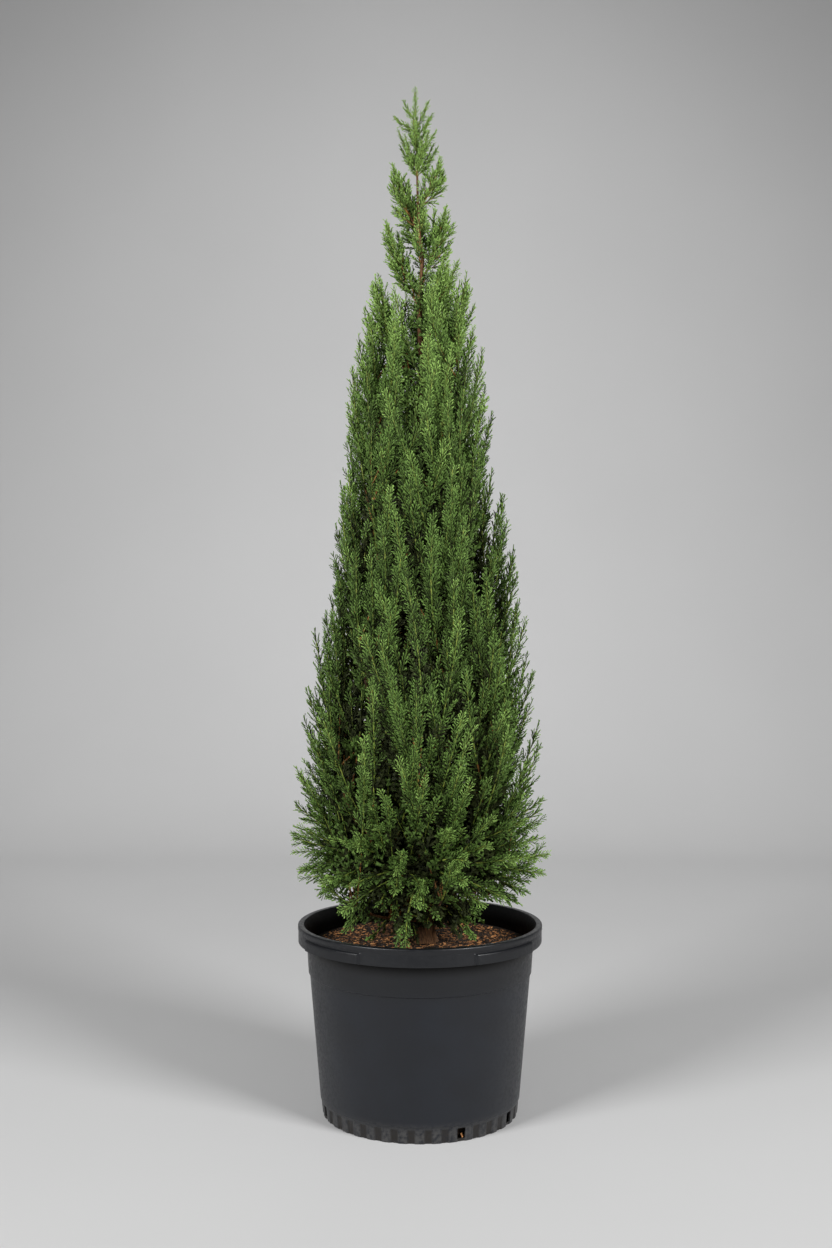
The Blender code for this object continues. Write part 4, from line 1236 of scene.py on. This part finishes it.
def green_of(depth, facing, part, bias, draw):
    """Which green a spray takes, by its depth in the crown, how it faces and its place on the plume: painted
    light and shade.
    """
    light = SKIN_LIGHT - depth / SHADE_DEPTH + FACING_LIGHT * facing + bias + draw.uniform(-0.35, 0.35)
    if part > 0.75 and light > 0.2:
        light += END_LIGHT
    return next(green for green, (dark, pale, most) in GREENS.items() if light < most)


def grow_sprays(plumes):
    """Sprays of every plume, by zone and green: place, turn, size and form of each."""
    draw = np.random.default_rng(47)
    rows = {}
    for plume in plumes:
        bias = draw.uniform(-0.22, 0.22) + ZONE_LIGHT.get(plume.zone, 0.0)
        turn = draw.uniform(0.0, 2.0 * math.pi)
        along = plume.first_spray
        while along < 1.0:
            root, heading = plume.at(along)
            depth = crown_radius(root.z) - (root - crown_centre(root.z)).length
            part = (along - plume.first_spray) / (1.0 - plume.first_spray)
            along += plume.spacing * read_off(THINNING, depth) / plume.length
            turn = (turn + GOLDEN_TURN) % (2.0 * math.pi)
            # Sprays get shorter and steeper towards the plume's tip, and the last one goes straight on.
            spread = math.radians(plume.spread * (1.20 - 0.62 * part) * draw.uniform(0.8, 1.2))
            wanted = plume.longest * (1.0 - 0.58 * part) * draw.uniform(0.75, 1.20)
            if along >= 1.0:
                spread = 0.0
                wanted = LAST_SPRAY * plume.longest
            leave = lean_away(heading, turn, spread)
            # None grows past the crown's outline, into the mix or into the pot's rim.
            end = root + leave * wanted
            outward = end - crown_centre(end.z)
            overrun = outward.length - crown_radius(end.z)
            if overrun > OUTLINE_SLACK:
                wanted -= overrun
            if wanted < SHORTEST_SPRAY or end.z < MIX_TOP + MIX_CLEARANCE:
                continue
            if end.z < POT_TOP + RIM_CLEARANCE and math.hypot(end.x, end.y) > RIM_CLEAR_REACH:
                continue
            outward.normalize()
            facing = leave.dot(outward)
            form = first_form(wanted, depth, facing)
            scale = wanted / SPRAY_FORMS[form][0]
            form += int(draw.integers(2))
            across = Matrix.Rotation(draw.uniform(-0.6, 0.6), 3, leave) @ leave.cross(outward).normalized()
            basis = Matrix((across, leave.cross(across), leave)).transposed()
            width = 0.5 + 0.5 * scale
            row = (tuple(root - leave * SPRAY_BURIED), tuple(basis.to_euler()), (width, width, scale), form)
            rows.setdefault((plume.zone, green_of(depth, facing, part, bias, draw)), []).append(row)
    return rows


def make_sprays(plumes):
    """The foliage, joined by zone and green, with the zone that each piece belongs to."""
    draw = np.random.default_rng(53)
    forms = [spray_form(number, *row, draw) for number, row in enumerate(SPRAY_FORMS)]
    shelf = set_aside("spray_forms", forms)
    leaves = {green: scale_leaves(f"scale_leaves_{green}", dark, light)
              for green, (dark, light, most) in GREENS.items()}
    rows = grow_sprays(plumes)
    pieces = []
    for zone in ZONES:
        for green in GREENS:
            if (zone, green) in rows:
                piece = scattered(f"sprays_{zone}_{green}", SCATTER, shelf, rows[zone, green], leaves[green])
                pieces.append((piece, zone))
    clear_shelf(shelf)
    return pieces


for sprays, zone in make_sprays(plumes):
    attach(sprays, "root")
    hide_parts(*[f"foliage_{name}" for name in ZONES[zone]])


# Studio
# A pale grey paper sweep under and far behind the plant, and two soft boxes well in front of it to the
# left and right, so that its two shadows run back and meet behind the pot. A third one hangs high
# behind the plant and lights the paper's wall.

CAMERA_PLACE = (-0.0071, -2.5, 0.8575)
CAMERA_LENS = 40.8
CAMERA_SENSOR = 36.0
SWEEP_WIDTH = 12.0
SWEEP_FRONT = -4.5
SWEEP_START = 2.6
SWEEP_RADIUS = 1.7
SWEEP_STEPS = 24
SWEEP_TOP = 5.0
# Soft box: its place, the place that it faces, its power and how wide it shines, in degrees.
SOFT_BOXES = (
    ("soft_left", (-3.0, -2.8, 2.5), (0.0, 0.6, 0.6), 60.0, 110.0),
    ("soft_right", (3.0, -2.8, 2.5), (0.0, 0.6, 0.6), 65.0, 110.0),
    ("soft_wall", (0.0, 0.6, 5.2), (0.0, 4.3, 0.9), 14.5, 82.0),
)
SOFT_BOX_SIZE = 1.6
AIR_STRENGTH = 0.16


def sweep_paper():
    """Matt studio paper, rolled down over the floor: pale grey with no pattern."""
    material, tree, shader, place = start_material("sweep_paper", Roughness=0.9)
    cloud = add_node(tree, "ShaderNodeTexNoise", {"Vector": place, "Scale": per_metre(900.0), "Detail": 2.0})
    tone = add_node(tree, "ShaderNodeMix", {0: cloud, 6: linear("d2d2d2"), 7: linear("dadada")},
                    data_type="RGBA")
    feed(tree, shader, {"Base Color": tone})
    return material


def make_sweep():
    """Floor, bend and wall of the sweep in one sheet."""
    outline = [(SWEEP_FRONT, 0.0), (SWEEP_START, 0.0)]
    for step in range(1, SWEEP_STEPS + 1):
        angle = math.pi / 2.0 * step / SWEEP_STEPS
        outline.append((SWEEP_START + SWEEP_RADIUS * math.sin(angle), SWEEP_RADIUS * (1.0 - math.cos(angle))))
    outline.append((SWEEP_START + SWEEP_RADIUS, SWEEP_TOP))
    points = [(side * SWEEP_WIDTH / 2.0, y, z) for y, z in outline for side in (-1.0, 1.0)]
    faces = [(2 * row, 2 * row + 1, 2 * row + 3, 2 * row + 2) for row in range(len(outline) - 1)]
    return mesh_object("studio_sweep", points, faces, sweep_paper(), smooth=40.0)


def add_light(name, place, target, power, spread):
    """A square soft box that faces a place."""
    data = bpy.data.lights.new(name, "AREA")
    data.size = SOFT_BOX_SIZE
    data.energy = power
    data.spread = math.radians(spread)
    light = bpy.data.objects.new(name, data)
    light.location = place
    light.rotation_euler = (Vector(target) - Vector(place)).to_track_quat("-Z", "Y").to_euler()
    bpy.context.scene.collection.objects.link(light)


def make_studio():
    """Sweep, lights, sky light and camera."""
    make_sweep()
    for box in SOFT_BOXES:
        add_light(*box)
    world = bpy.data.worlds.new("studio_air")
    world.use_nodes = True
    sky = world.node_tree.nodes["Background"]
    sky.inputs["Color"].default_value = (1.0, 1.0, 1.0, 1.0)
    sky.inputs["Strength"].default_value = AIR_STRENGTH
    bpy.context.scene.world = world
    data = bpy.data.cameras.new("camera")
    data.lens = CAMERA_LENS
    data.sensor_width = CAMERA_SENSOR
    camera = bpy.data.objects.new("camera", data)
    camera.location = CAMERA_PLACE
    camera.rotation_euler = (math.radians(90.0), 0.0, 0.0)
    bpy.context.scene.collection.objects.link(camera)
    bpy.context.scene.camera = camera
    bpy.context.scene.view_settings.view_transform = "Standard"


make_studio()
